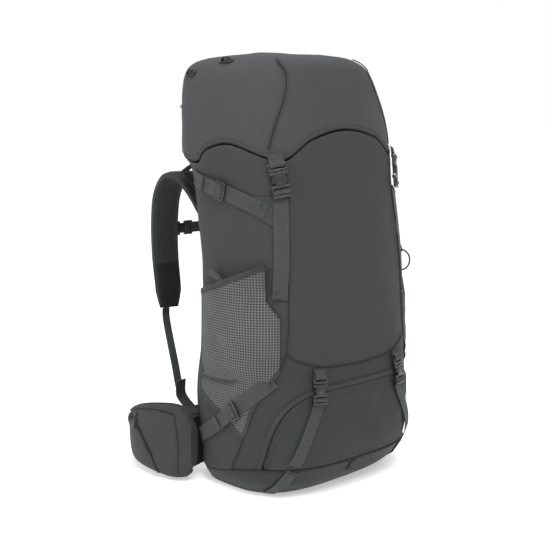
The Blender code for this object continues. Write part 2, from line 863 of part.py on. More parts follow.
def sternum_plane():
    """Height and depth of the sternum strap, just in front of the shoulder straps."""
    line = shoulder_line(LEFT)
    height = STERNUM_SHARE * BAG_HEIGHT
    near = min(line[10:], key=lambda p: abs(p.z - height))
    return near.y + SHOULDER_THICK / 2 + 0.004, height


def build_sternum():
    plastic = material("plastic", PLASTIC, 0.5)
    depth, height = sternum_plane()
    meet = 0.042
    ends = 0.104
    frame = (
        Vector((-meet, depth, height)), Vector((0, 0, 1)), Vector((1, 0, 0)), Vector((0, 1, 0)),
    )
    place = flat_on(frame, 0, 0.004)
    plug = plug_outline(SLIM_STRAP, meet + ends - 0.013)
    socket = socket_outline(SLIM_STRAP, ladder=False)
    base = min(part[0] for part in socket)
    socket.append((meet - ends, base, -SLIM_STRAP / 2, SLIM_STRAP / 2))
    rectangles("sternum_plug", plug, place, plastic, origin=frame[0])
    rectangles("sternum_socket", socket, place, plastic, origin=frame[0])


def wing_line(side):
    """Centres of a hip wing, from its root beside the pack's back corner round to its tip."""
    route = (
        (-0.187, 0.030, 0.069), (-0.194, 0.055, 0.069), (-0.201, 0.090, 0.068),
        (-0.204, 0.127, 0.066), (-0.197, 0.168, 0.061), (-0.177, 0.208, 0.053),
        (-0.142, 0.243, 0.045),
    )
    grow = BAG_WIDTH / 0.366
    return eased([(side * x * grow, y, z) for x, y, z in route], 14)


def wing_hinge(side):
    root = wing_line(side)[0]
    return root + Vector((side * 0.008, 0.015, 0))


def wing_thickness(i, last):
    """Inner and outer half thickness of a wing: the pad and the pocket, shared between faces."""
    along = i / last
    swell = math.sin(math.pi * min(1, max(0, (along + 0.06) / 0.88))) ** 0.6
    ends = min(1, 0.55 + 0.25 * min(i, last - i))
    pad = BELT_THICK / 2 * ends
    bulge = BELT_POCKET * swell
    return pad + bulge * (1 - POCKET_OUTSIDE), pad + bulge * POCKET_OUTSIDE


def build_belt():
    plastic = material("plastic", PLASTIC, 0.5)
    cloth = material("dark_fabric", DARK_FABRIC)
    for side, word in SIDES:
        line = wing_line(side)
        last = len(line) - 1

        def facing(i):
            ahead = line[min(i + 1, last)] - line[max(i - 1, 0)]
            return Vector((0, 0, side)).cross(ahead) * -1

        def half_height(i):
            root = (0.55, 0.80, 0.93, 0.98)[i] if i < 4 else 1
            return BELT_HEIGHT / 2 * (1 - 0.52 * (i / last) ** 2) * root

        def half_thick(i):
            return wing_thickness(i, last)

        cushion(
            f"hip_wing_{word}", line, facing, half_height, half_thick, cloth,
            origin=wing_hinge(side), corners=16, square=WING_SQUARENESS,
        )
        pull_frame(side, word, line)
    place, reach = bent_belt()
    long = SOCKET_LENGTH * WIDE_STRAP
    plug = plug_outline(WIDE_STRAP, reach[RIGHT] - 0.0130)
    socket = socket_outline(WIDE_STRAP)
    socket.append((-reach[LEFT], -0.93 * long, -WIDE_STRAP / 2, WIDE_STRAP / 2))
    rectangles("hip_belt_plug", plug, place, plastic, 0.022, wing_hinge(RIGHT))
    rectangles("hip_belt_socket", socket, place, plastic, 0.022, wing_hinge(LEFT))


def bent_belt():
    """Places a flat piece along the front of the hip belt, and how far it reaches each way."""
    tips = {side: wing_line(side)[-1] for side in (LEFT, RIGHT)}
    leave = {side: (wing_line(side)[-1] - wing_line(side)[-2]).normalized() for side in tips}
    depth = tips[LEFT].y + 0.030
    height = tips[LEFT].z - 0.012
    flat = 0.072
    route = []
    for side in (LEFT, RIGHT):
        half = [
            tips[side] + leave[side] * 0.004,
            tips[side] + leave[side] * 0.024,
            Vector((side * -flat, depth - 0.001, height)),
            Vector((side * -0.036, depth, height)),
            Vector((0, depth, height)),
        ]
        half = eased(half, 24)
        route += half if side == LEFT else half[-2::-1]
    run = [0.0]
    for a, b in zip(route, route[1:]):
        run.append(run[-1] + (b - a).length)
    table = [(run[i], *route[i]) for i in range(len(route))]
    meet = run[24] + BUCKLE_OFFSET

    def place(u, v, w):
        at = meet + u
        here = Vector([smooth(table, at, k) for k in (1, 2, 3)])
        ahead = Vector([smooth(table, at + 0.001, k) - smooth(table, at - 0.001, k) for k in (1, 2, 3)])
        out = Vector((0, 0, 1)).cross(ahead).normalized()
        return here + Vector((0, 0, v)) + out * (BUCKLE_THICK * (w - 0.5))

    return place, {LEFT: meet, RIGHT: run[-1] - meet}


def pull_frame(side, word, line):
    """Zip pull on the shoulder of a hip pocket, hanging from the zip."""
    ahead = line[9] - line[7]
    ahead.z = 0
    ahead.normalize()
    out = Vector((0, 0, side)).cross(ahead)
    swell = wing_thickness(8, len(line) - 1)[1]
    half = BELT_HEIGHT / 2 * 0.83

    def surface(level):
        return line[8] + out * (swell * (1 - (level / half) ** WING_SQUARENESS) ** 0.37)

    top = surface(0.044) + Vector((0, 0, 0.044))
    low = surface(0.017) + Vector((0, 0, 0.017))
    up = (top - low).normalized()
    normal = up.cross(ahead) * side
    top += normal * (PULL_THICK / 2 + 0.002)
    zip_pull(f"hip_zip_pull_{word}", (top, ahead, up, normal))


def zip_pull(name, frame):
    """Tab that hangs from the point of its frame and swings about the frame's right vector."""
    half = PULL_WIDTH / 2
    rectangles(
        name, ((-PULL_LENGTH, 0, -half, half),), flat_on(frame, -PULL_THICK / 2, PULL_THICK),
        material("plastic", PLASTIC, 0.5), origin=frame[0],
    )


def build_zip_pulls():
    for share, word in ((0.160, "upper"), (0.106, "lower")):
        turn = -(ARCH_TURN + 6)
        height = share * BAG_HEIGHT
        top = on_skin(turn, height, 0.007)
        lower = on_skin(turn, height - PULL_LENGTH, 0.007)
        up = (top - lower).normalized()
        normal = outward(turn, height)
        right = up.cross(normal).normalized()
        zip_pull(f"compartment_zip_pull_{word}", (top, right, up, right.cross(up).normalized()))
    height = 0.870 * BAG_HEIGHT
    top = Vector((0, back_y(0, height) + 0.007, height))
    frame = (top, Vector((-1, 0, 0)), Vector((0, 0, 1)), Vector((0, 1, 0)))
    zip_pull("lid_zip_pull", frame)


def main():
    clear_scene()
    build_base()
    build_panels()
    build_flap()
    build_divider()
    build_collar()
    build_lid()
    build_pockets()
    build_frame_and_back()
    build_straps()
    build_harness()
    build_sternum()
    build_belt()
    build_zip_pulls()


main()
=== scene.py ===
import json
import math

import bmesh
import bpy
import numpy as np
from mathutils import Matrix, Vector

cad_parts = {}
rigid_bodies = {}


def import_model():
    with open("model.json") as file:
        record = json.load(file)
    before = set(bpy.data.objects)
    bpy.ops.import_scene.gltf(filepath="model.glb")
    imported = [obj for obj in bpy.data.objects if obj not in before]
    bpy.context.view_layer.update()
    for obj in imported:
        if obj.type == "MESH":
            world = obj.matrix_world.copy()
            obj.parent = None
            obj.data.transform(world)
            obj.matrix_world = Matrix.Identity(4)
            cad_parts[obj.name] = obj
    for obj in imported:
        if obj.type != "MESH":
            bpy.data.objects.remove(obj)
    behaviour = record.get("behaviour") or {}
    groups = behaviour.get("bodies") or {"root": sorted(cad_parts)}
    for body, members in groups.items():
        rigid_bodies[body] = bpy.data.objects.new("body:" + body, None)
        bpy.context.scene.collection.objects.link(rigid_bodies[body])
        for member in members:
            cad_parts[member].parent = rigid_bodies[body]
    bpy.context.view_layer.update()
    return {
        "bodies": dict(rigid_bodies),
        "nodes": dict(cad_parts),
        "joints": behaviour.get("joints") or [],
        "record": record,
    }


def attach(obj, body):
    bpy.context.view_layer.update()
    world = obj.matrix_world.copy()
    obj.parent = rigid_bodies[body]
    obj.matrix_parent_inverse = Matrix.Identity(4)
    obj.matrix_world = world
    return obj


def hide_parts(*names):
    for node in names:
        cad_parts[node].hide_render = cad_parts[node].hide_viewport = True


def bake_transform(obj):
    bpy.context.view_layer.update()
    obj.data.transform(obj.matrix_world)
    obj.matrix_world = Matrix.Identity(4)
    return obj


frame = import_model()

# Overall sizes of the bag in metres; +Z up, -Y the outer panel, -X the wearer's left
WIDTH, DEPTH, HEIGHT = 0.366, 0.276, 0.730
WALL, LID_WALL = 0.003, 0.004
STRAP, WIDE, SLIM = 0.0015, 0.025, 0.020
LEFT, RIGHT = 1, -1
SIDES = ((LEFT, "left"), (RIGHT, "right"))

# Share of the height, then half the width, front and back as shares of the overall sizes
SECTIONS = (
    (0.000, 0.800, -0.440, 0.320), (0.020, 0.885, -0.535, 0.318), (0.041, 0.936, -0.598, 0.318),
    (0.110, 0.984, -0.692, 0.328), (0.219, 1.000, -0.670, 0.338), (0.356, 0.995, -0.627, 0.280),
    (0.521, 0.978, -0.601, 0.284), (0.603, 0.968, -0.576, 0.319), (0.685, 0.956, -0.547, 0.359),
    (0.740, 0.953, -0.536, 0.397), (0.757, 0.952, -0.533, 0.450), (0.774, 0.950, -0.530, 0.497),
    (0.822, 0.940, -0.511, 0.520), (0.877, 0.907, -0.481, 0.532), (0.918, 0.866, -0.453, 0.544),
    (0.945, 0.815, -0.431, 0.560), (0.973, 0.690, -0.395, 0.570), (0.990, 0.480, -0.280, 0.480),
    (1.000, 0.080, 0.060, 0.180),
)
LID_EDGE = (
    (-28, 0.807), (0, 0.826), (28, 0.807), (43, 0.769), (50, 0.763), (74, 0.797), (92, 0.784), (104, 0.754),
    (125, 0.762), (145, 0.771), (180, 0.774),
)
SIDE_SEAM = (
    (0.030, 89.0), (0.090, 84.0), (0.145, 77.5), (0.215, 70.0), (0.285, 60.5), (0.340, 54.5),
    (0.460, 53.0), (0.570, 51.5), (0.675, 49.0), (0.770, 48.0),
)
LID_SEAM = ((0.760, 55.0), (0.836, 48.5), (0.914, 40.5), (0.953, 39.0), (0.975, 42.0))
YOKE_SEAM = ((0, 0.298), (32, 0.305), (42, 0.315), (50, 0.329), (54.5, 0.342), (70, 0.36))
BASE_FRONT, BASE_BACK = 0.0795, 0.041
ARCH_CROWN, ARCH_TURN, ARCH_POWER = 0.251, 66.5, 6.5
BACK_SEAM = 125.0
GAP, LID_GAP = 0.0008, 0.003


def smooth(table, at, column=1):
    """One column of a table, read between its rows on a smooth curve."""
    at = min(max(at, table[0][0]), table[-1][0])
    last = len(table) - 1
    row = next(i for i in range(last) if at <= table[i + 1][0])

    def slope(i):
        before, after = table[max(i - 1, 0)], table[min(i + 1, last)]
        return (after[column] - before[column]) / (after[0] - before[0])

    span = table[row + 1][0] - table[row][0]
    t = (at - table[row][0]) / span
    return (
        table[row][column] * (2 * t**3 - 3 * t**2 + 1)
        + table[row + 1][column] * (3 * t**2 - 2 * t**3)
        + slope(row) * span * (t**3 - 2 * t**2 + t)
        + slope(row + 1) * span * (t**3 - t**2)
    )


def curve(table, column=1, count=721):
    """The same smooth curve for whole arrays."""
    at = np.linspace(table[0][0], table[-1][0], count)
    value = np.array([smooth(table, a, column) for a in at])
    return lambda x: np.interp(x, at, value)


HALF, FRONT, BACK = (curve(SECTIONS, k, 1461) for k in (1, 2, 3))
LID_LINE, SEAM_LINE, YOKE_LINE = curve(LID_EDGE, 1, 1041), curve(SIDE_SEAM), curve(YOKE_SEAM)
LID_SEAM_LINE = curve(LID_SEAM)


def skin(turn, height):
    turn, height = np.broadcast_arrays(np.asarray(turn, float), np.asarray(height, float))
    share = np.clip(height / HEIGHT, 0, 1)
    half, front, back = HALF(share) * WIDTH / 2, FRONT(share) * DEPTH, BACK(share) * DEPTH
    middle, deep = (front + back) / 2, (back - front) / 2
    s, c = np.sin(np.radians(turn)), np.cos(np.radians(turn))
    r = (np.abs(s / half) ** 3 + np.abs(c / deep) ** 3) ** (-1 / 3)
    return np.stack([-r * s, middle - r * c, height], -1)


def unit(v):
    return v / np.maximum(np.linalg.norm(v, axis=-1, keepdims=True), 1e-12)


def outward(turn, height):
    height = np.clip(height, 0.001, HEIGHT - 0.001)
    round_it = skin(np.asarray(turn) - 1, height) - skin(np.asarray(turn) + 1, height)
    up_it = skin(turn, height + 0.001) - skin(turn, height - 0.001)
    return unit(np.cross(round_it, up_it))


def on_skin(turn, height, lift=0.0):
    return skin(turn, height) + outward(turn, height) * np.asarray(lift)[..., None]


def from_front(turn):
    turn = np.abs(turn) % 360
    return np.minimum(turn, 360 - turn)


def lid_edge(turn):
    return LID_LINE(from_front(turn)) * HEIGHT


def base_edge(turn):
    along = np.clip((from_front(turn) - 60) / 50, 0, 1)
    return (BASE_FRONT + (BASE_BACK - BASE_FRONT) * (1 - np.cos(np.pi * along)) / 2) * HEIGHT


def side_seam(height):
    return SEAM_LINE(np.asarray(height) / HEIGHT)


def zip_arch(turn):
    bow = np.maximum(1 - (np.abs(turn) / ARCH_TURN) ** ARCH_POWER, 0)
    return (BASE_FRONT + (ARCH_CROWN - BASE_FRONT) * bow) * HEIGHT


def back_y(x, height):
    share = height / HEIGHT
    front, back = FRONT(share) * DEPTH, BACK(share) * DEPTH
    inside = max(1 - abs(x / (HALF(share) * WIDTH / 2)) ** 3, 0)
    return (front + back) / 2 + (back - front) / 2 * inside ** (1 / 3)


def ripple(points, size, seed):
    """A smooth uneven swell from -1 to 1 over points, about size metres from crest to crest."""
    random = np.random.default_rng(seed)
    total = 0
    for _ in range(7):
        way = unit(random.normal(size=3)) * 2 * np.pi / (size * random.uniform(0.7, 1.5))
        total = total + np.sin(points @ way + random.uniform(0, 2 * np.pi))
    return total / 4


def eased(points, count):
    """Evenly numbered places on a smooth curve through a few points."""
    table = [(i / (len(points) - 1), *p) for i, p in enumerate(points)]
    return np.array([[smooth(table, t, k) for k in (1, 2, 3)] for t in np.linspace(0, 1, count + 1)])


def even(points, step):
    """The same line with points a fixed step apart."""
    run = np.concatenate([[0], np.cumsum(np.linalg.norm(np.diff(points, axis=0), axis=1))])
    at = np.linspace(0, run[-1], max(2, int(run[-1] / step)))
    return np.stack([np.interp(at, run, points[:, k]) for k in range(3)], -1)


# ---------------------------------------------------------------- materials


class Nodes:
    """Places nodes in a tree and joins them up."""

    def __init__(self, tree):
        self.tree = tree

    def put(self, kind, inputs=(), **settings):
        node = self.tree.nodes.new("ShaderNode" + kind)
        for key, value in settings.items():
            setattr(node, key, value)
        for key, value in dict(inputs).items():
            if isinstance(value, bpy.types.NodeSocket):
                self.tree.links.new(value, node.inputs[key])
            else:
                node.inputs[key].default_value = value
        return node

    def math(self, operation, a, b=0.0, c=0.0):
        return self.put("Math", {0: a, 1: b, 2: c}, operation=operation).outputs[0]

    def mix(self, factor, a, b):
        node = self.put("Mix", {0: factor, 6: a, 7: b}, data_type="RGBA")
        return node.outputs[2]

    def ramp(self, value, low, high, to_low=0.0, to_high=1.0):
        inputs = {"Value": value, 1: low, 2: high, 3: to_low, 4: to_high}
        return self.put("MapRange", inputs).outputs[0]

    def noise(self, vector, scale, detail=3.0, rough=0.6):
        inputs = {"Vector": vector, "Scale": scale, "Detail": detail, "Roughness": rough}
        return self.put("TexNoise", inputs).outputs[0]


def new_group(name, inputs, outputs):
    tree = bpy.data.node_groups.new(name, "ShaderNodeTree")
    for label, kind, value in inputs:
        socket = tree.interface.new_socket(name=label, in_out="INPUT", socket_type=kind)
        if value is not None:
            socket.default_value = value
    for label in outputs:
        tree.interface.new_socket(name=label, in_out="OUTPUT", socket_type="NodeSocketFloat")
    ends = tree.nodes.new("NodeGroupInput").outputs, tree.nodes.new("NodeGroupOutput").inputs
    return tree, Nodes(tree), ends


FLOAT, VECTOR = "NodeSocketFloat", "NodeSocketVector"


def make_plain_weave():
    """Over-and-under threads: height of the cloth, and which threads are on top."""
    tree, n, (start, end) = new_group(
        "Plain weave", [("Vector", VECTOR, None), ("Thread", FLOAT, 0.0007)], ["Height", "Over"]
    )
    at = n.put("SeparateXYZ", {0: start["Vector"]}).outputs
    turns = n.math("DIVIDE", math.pi, start["Thread"])
    warp = n.math("SINE", n.math("MULTIPLY", at[0], turns))
    weft = n.math("SINE", n.math("MULTIPLY", at[1], turns))
    over = n.math("MULTIPLY", warp, weft)
    ridge = n.math("MAXIMUM", n.math("ABSOLUTE", warp), n.math("ABSOLUTE", weft))
    height = n.math("MULTIPLY_ADD", over, 0.5, ridge)
    n.tree.links.new(height, end["Height"])
    n.tree.links.new(n.ramp(over, -1.0, 1.0), end["Over"])
    return tree


def make_net():
    """Diamond net: strands at two slants round dark holes."""
    tree, n, (start, end) = new_group(
        "Diamond net",
        [("Vector", VECTOR, None), ("Pitch", FLOAT, 0.0035), ("Slant", FLOAT, 1.0)],
        ["Strand", "Height"],
    )
    at = n.put("SeparateXYZ", {0: start["Vector"]}).outputs
    turns = n.math("DIVIDE", 2 * math.pi, start["Pitch"])
    across = n.math("MULTIPLY", at[0], turns)
    up = n.math("MULTIPLY", n.math("MULTIPLY", at[1], turns), start["Slant"])
    one = n.math("SINE", n.math("ADD", across, up))
    two = n.math("SINE", n.math("SUBTRACT", across, up))
    hole = n.math("MULTIPLY", one, two)
    n.tree.links.new(n.ramp(hole, 0.05, 0.45, 1.0, 0.0), end["Strand"])
    n.tree.links.new(n.ramp(hole, -0.6, 0.5, 1.0, 0.0), end["Height"])
    return tree


def make_webbing_rib():
    """Tape: close ribs across it, and a raised selvage along each edge."""
    tree, n, (start, end) = new_group(
        "Webbing rib", [("Vector", VECTOR, None), ("Rib", FLOAT, 0.0012)], ["Height", "Shade"]
    )
    at = n.put("SeparateXYZ", {0: start["Vector"]}).outputs
    turns = n.math("DIVIDE", 2 * math.pi, start["Rib"])
    wave = n.math("SINE", n.math("MULTIPLY", at[0], turns))
    zig = n.math("SINE", n.math("MULTIPLY", at[1], 2 * math.pi / 0.003))
    herring = n.math("SINE", n.math("MULTIPLY_ADD", at[0], turns, n.math("MULTIPLY", zig, 1.4)))
    selvage = n.ramp(n.math("ABSOLUTE", at[1]), 0.0080, 0.0105)
    height = n.math("MULTIPLY_ADD", selvage, 0.8, n.math("MULTIPLY_ADD", wave, 0.3, herring))
    n.tree.links.new(height, end["Height"])
    n.tree.links.new(n.ramp(herring, -1.0, 1.0), end["Shade"])
    return tree


def make_handling():
    """Where a piece is rubbed and dusty: cloudy patches, stronger towards its edges."""
    tree, n, (start, end) = new_group(
        "Handling", [("Vector", VECTOR, None), ("Edge", FLOAT, 0.02)], ["Cloud", "Rub", "Speck"]
    )
    cloud = n.noise(start["Vector"], 9.0, 4.0)
    fine = n.noise(start["Vector"], 160.0, 3.0)
    near = n.ramp(start["Edge"], 0.0, 0.010, 1.0, 0.0)
    rub = n.math("MULTIPLY", near, n.ramp(n.noise(start["Vector"], 45.0), 0.42, 0.70))
    n.tree.links.new(n.ramp(cloud, 0.30, 0.70), end["Cloud"])
    n.tree.links.new(rub, end["Rub"])
    n.tree.links.new(n.ramp(fine, 0.35, 0.65), end["Speck"])
    return tree


WEAVE, NET, RIB, HANDLING = make_plain_weave(), make_net(), make_webbing_rib(), make_handling()


def new_material(name, **constants):
    made = bpy.data.materials.new(name)
    made.use_nodes = True
    shader = made.node_tree.nodes["Principled BSDF"]
    for key, value in constants.items():
        shader.inputs[key.replace("_", " ")].default_value = value
    return made, Nodes(made.node_tree), shader


def group(n, tree, **inputs):
    node = n.tree.nodes.new("ShaderNodeGroup")
    node.node_tree = tree
    for key, value in inputs.items():
        if isinstance(value, bpy.types.NodeSocket):
            n.tree.links.new(value, node.inputs[key])
        else:
            node.inputs[key].default_value = value
    return node.outputs


def tint(colour, by):
    return (*(min(1.0, max(0.0, c * by)) for c in colour), 1.0)


def finish_surface(n, shader, colour, roughness, height, depth, strength=0.5):
    n.tree.links.new(colour, shader.inputs["Base Color"])
    n.tree.links.new(roughness, shader.inputs["Roughness"])
    bump = n.put("Bump", {"Strength": strength, "Distance": depth, "Height": height})
    n.tree.links.new(bump.outputs[0], shader.inputs["Normal"])


def uv_vector(n):
    return n.put("UVMap", uv_map="cloth").outputs[0]


def object_vector(n):
    return n.put("TexCoord").outputs["Object"]


def edge_value(n):
    return n.put("Attribute", attribute_name="edge").outputs["Fac"]


def cloth(name, colour, thread=0.0008, rough=0.78, contrast=0.09, sheen=0.04):
    made, n, shader = new_material(name, Sheen_Weight=sheen, Sheen_Roughness=0.45, Specular_IOR_Level=0.22)
    weave = group(n, WEAVE, Vector=uv_vector(n), Thread=thread)
    hand = group(n, HANDLING, Vector=object_vector(n), Edge=edge_value(n))
    base = n.mix(hand["Cloud"], tint(colour, 1 - contrast), tint(colour, 1 + contrast))
    woven = n.mix(n.math("MULTIPLY", weave["Over"], 0.35), base, tint(colour, 1.28))
    speck = n.mix(n.math("MULTIPLY", hand["Speck"], 0.22), woven, tint(colour, 0.78))
    worn = n.mix(n.math("MULTIPLY", hand["Rub"], 0.45), speck, tint(colour, 1.75))
    roughness = n.ramp(hand["Cloud"], 0.0, 1.0, rough - 0.05, rough + 0.06)
    height = n.math("MULTIPLY_ADD", hand["Speck"], 0.8, weave["Height"])
    finish_surface(n, shader, worn, roughness, height, thread * 0.25, 0.45)
    return made


def net_cloth(name, strand, hole, pitch, slant, depth=0.0006):
    made, n, shader = new_material(name, Specular_IOR_Level=0.4)
    net = group(n, NET, Vector=uv_vector(n), Pitch=pitch, Slant=slant)
    hand = group(n, HANDLING, Vector=object_vector(n), Edge=edge_value(n))
    lit = n.mix(hand["Cloud"], tint(strand, 0.8), tint(strand, 1.15))
    colour = n.mix(net["Strand"], (*hole, 1.0), lit)
    roughness = n.ramp(net["Strand"], 0.0, 1.0, 0.9, 0.55)
    height = n.math("MULTIPLY_ADD", hand["Speck"], 0.15, net["Height"])
    finish_surface(n, shader, colour, roughness, height, depth, 0.9)
    return made


def tape(name, colour, rib=0.0012):
    made, n, shader = new_material(name, Sheen_Weight=0.05, Specular_IOR_Level=0.30)
    ribs = group(n, RIB, Vector=uv_vector(n), Rib=rib)
    hand = group(n, HANDLING, Vector=object_vector(n), Edge=edge_value(n))
    woven = n.mix(ribs["Shade"], tint(colour, 0.80), tint(colour, 1.16))
    cloudy = n.mix(n.math("MULTIPLY", hand["Cloud"], 0.4), woven, tint(colour, 1.25))
    worn = n.mix(n.math("MULTIPLY", hand["Rub"], 0.5), cloudy, tint(colour, 1.7))
    roughness = n.ramp(hand["Speck"], 0.0, 1.0, 0.55, 0.75)
    finish_surface(n, shader, worn, roughness, ribs["Height"], 0.00022, 0.6)
    return made


def moulded(name, colour, rough=0.42):
    """Moulded acetal: fine spark-eroded grain, rubbed brighter in cloudy patches."""
    made, n, shader = new_material(name, Specular_IOR_Level=0.55)
    hand = group(n, HANDLING, Vector=object_vector(n), Edge=0.004)
    grain = n.noise(object_vector(n), 1900.0, 2.0)
    base = n.mix(hand["Cloud"], tint(colour, 0.85), tint(colour, 1.2))
    rubbed = n.mix(n.math("MULTIPLY", hand["Rub"], 0.35), base, tint(colour, 2.0))
    roughness = n.ramp(hand["Speck"], 0.0, 1.0, rough - 0.08, rough + 0.10)
    finish_surface(n, shader, rubbed, roughness, grain, 0.00008, 0.35)
    return made


def cordage(name, colour):
    """Braided cord: slanting strands round it."""
    made, n, shader = new_material(name, Specular_IOR_Level=0.4)
    net = group(n, NET, Vector=uv_vector(n), Pitch=0.0022, Slant=1.0)
    hand = group(n, HANDLING, Vector=object_vector(n), Edge=0.02)
    colours = n.mix(net["Height"], tint(colour, 0.6), tint(colour, 1.3))
    cloudy = n.mix(n.math("MULTIPLY", hand["Cloud"], 0.3), colours, tint(colour, 1.5))
    roughness = n.ramp(hand["Speck"], 0.0, 1.0, 0.55, 0.8)
    finish_surface(n, shader, cloudy, roughness, net["Height"], 0.0003, 0.8)
    return made


def sprung_steel():
    made, n, shader = new_material("sprung steel", Metallic=1.0)
    hand = group(n, HANDLING, Vector=object_vector(n), Edge=0.004)
    drawn = n.put("Mapping", {"Vector": object_vector(n), "Scale": (900.0, 900.0, 40.0)})
    lines = n.noise(drawn.outputs[0], 1.0, 2.0)
    colour = n.mix(hand["Cloud"], (0.26, 0.27, 0.28, 1.0), (0.36, 0.37, 0.38, 1.0))
    roughness = n.ramp(lines, 0.3, 0.7, 0.25, 0.45)
    finish_surface(n, shader, colour, roughness, lines, 0.00005, 0.3)
    return made


def paper_floor():
    made, n, shader = new_material(
        "studio paper", Specular_IOR_Level=0.1, Emission_Color=(1, 1, 1, 1), Emission_Strength=0.40
    )
    fibres = n.noise(object_vector(n), 60.0, 4.0)
    colour = n.mix(fibres, (0.86, 0.86, 0.86, 1.0), (0.90, 0.90, 0.90, 1.0))
    roughness = n.ramp(fibres, 0.3, 0.7, 0.85, 0.95)
    finish_surface(n, shader, colour, roughness, fibres, 0.0001, 0.2)
    return made


CHARCOAL = (0.032, 0.033, 0.035)
SHELL = cloth("charcoal shell cloth", CHARCOAL)
# Lid: the shell's charcoal painted lighter, as painted light where the lid's top takes the lamps
LID_CLOTH_PAINTED_LIGHTER = cloth("charcoal lid cloth painted lighter", (0.041, 0.042, 0.044))
# Base: a heavier, greener weave of its own, its colour also painted darker than the shell as painted shade on the low
# band turning down to the floor
BASE_CLOTH_WITH_PAINTED_SHADE = cloth("heavy base cloth with painted shade", (0.022, 0.025, 0.025), thread=0.0011, rough=0.66)
FLAP_CLOTH = cloth("compartment cloth", (0.027, 0.030, 0.030))
BELT_CLOTH = cloth("belt cloth", (0.033, 0.034, 0.035))
LINING = cloth("thin lining", (0.036, 0.037, 0.038), thread=0.0006, rough=0.55)
BINDING = tape("binding tape", (0.021, 0.023, 0.024), rib=0.0009)
WEBBING = tape("charcoal webbing", (0.031, 0.035, 0.036))
# Near black: the colour of the piping, seam cords and zip coils, and also painted shade on the sheet in the gap behind
# each hip wing
PIPING_AND_GAP_SHADE = cloth("dark piping and painted gap shade", (0.010, 0.011, 0.011), thread=0.0005)
THREAD = cloth("sewing thread", (0.045, 0.048, 0.049), thread=0.0003)
POCKET_NET = net_cloth("pocket net", (0.078, 0.083, 0.085), (0.004, 0.005, 0.005), 0.0086, 1.0)
SPACER = net_cloth("spacer mesh", (0.026, 0.030, 0.031), (0.006, 0.006, 0.007), 0.0052, 0.75)
ACETAL = moulded("charcoal acetal", (0.012, 0.0135, 0.014), 0.30)
BLACK_ACETAL = moulded("black acetal", (0.012, 0.013, 0.014), 0.36)
CORD = cordage("black cord", (0.007, 0.0075, 0.008))
TAG = cloth("woven tag", (0.020, 0.021, 0.022), thread=0.0005)
STEEL = sprung_steel()

# ---------------------------------------------------------------- mesh helpers


def add_mesh(name, points, faces, finish, body, uvs=None, edge=None, replaces=(), angle=40):
    """A closed mesh in place, on its body, with its cloth coordinates and edge distances."""
    mesh = bpy.data.meshes.new(name)
    mesh.from_pydata(np.asarray(points, float).tolist(), [], faces)
    layer = mesh.uv_layers.new(name="cloth")
    if uvs is None:
        corner = np.zeros(len(mesh.loops), int)
        mesh.loops.foreach_get("vertex_index", corner)
        flat = np.asarray(points, float)[corner]
        uvs = np.stack([flat[:, 0] + flat[:, 1], flat[:, 2]], -1)
    layer.data.foreach_set("uv", np.asarray(uvs, np.float32).ravel())
    values = np.full(len(points), 0.02, np.float32) if edge is None else edge.astype(np.float32)
    mesh.attributes.new("edge", "FLOAT", "POINT").data.foreach_set("value", values)
    shape = bmesh.new()
    shape.from_mesh(mesh)
    bmesh.ops.recalc_face_normals(shape, faces=shape.faces)
    shape.to_mesh(mesh)
    shape.free()
    made = bpy.data.objects.new(name, mesh)
    bpy.context.scene.collection.objects.link(made)
    settle(made, finish, body, replaces, angle)
    return made


def settle(made, finish, body, replaces=(), angle=40):
    made.data.materials.clear()
    made.data.materials.append(finish)
    made.data.shade_smooth()
    made.data.set_sharp_from_angle(angle=math.radians(angle))
    if body:
        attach(made, body)
    if replaces:
        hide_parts(*replaces)
    return made


def grid_faces(rows, columns, start=0, wrap=False, flip=False):
    faces, uv_index = [], []
    for j in range(rows - 1):
        for i in range(columns if wrap else columns - 1):
            k = (i + 1) % columns
            quad = [start + j * columns + i, start + j * columns + k,
                    start + (j + 1) * columns + k, start + (j + 1) * columns + i]
            corner = [(j, i), (j, i + 1), (j + 1, i + 1), (j + 1, i)]
            if flip:
                quad, corner = quad[::-1], corner[::-1]
            faces.append(quad)
            uv_index += corner
    return faces, uv_index


def sheet_between(name, outer, inner, finish, body, replaces=(), flat=None):
    """A cloth of two surfaces, each rows by columns, joined round the rim."""
    rows, columns = outer.shape[:2]
    count = rows * columns
    run_u = np.concatenate([np.zeros((rows, 1)), np.cumsum(np.linalg.norm(np.diff(outer, axis=1), axis=2), 1)], 1)
    run_v = np.concatenate([np.zeros((1, columns)), np.cumsum(np.linalg.norm(np.diff(outer, axis=0), axis=2), 0)], 0)
    uv = np.stack([run_u - run_u[:, -1:] / 2, run_v], -1) if flat is None else flat
    edge = np.minimum.reduce([run_u, run_u[:, -1:] - run_u, run_v, run_v[-1:] - run_v])
    faces, corners = grid_faces(rows, columns)
    more, more_corners = grid_faces(rows, columns, count, flip=True)
    faces += more
    corners += more_corners
    border = (
        [(0, i) for i in range(columns)] + [(j, columns - 1) for j in range(1, rows)]
        + [(rows - 1, i) for i in range(columns - 2, -1, -1)] + [(j, 0) for j in range(rows - 2, 0, -1)]
    )
    for (a, b), (c, d) in zip(border, border[1:] + border[:1]):
        one, two = a * columns + b, c * columns + d
        faces.append([one, two, two + count, one + count])
        corners += [(a, b), (c, d), (c, d), (a, b)]
    uvs = np.array([uv[a, b] for a, b in corners])
    points = np.concatenate([outer.reshape(-1, 3), inner.reshape(-1, 3)])
    edge = np.concatenate([edge.ravel(), edge.ravel()])
    return add_mesh(name, points, faces, finish, body, uvs, edge, replaces)


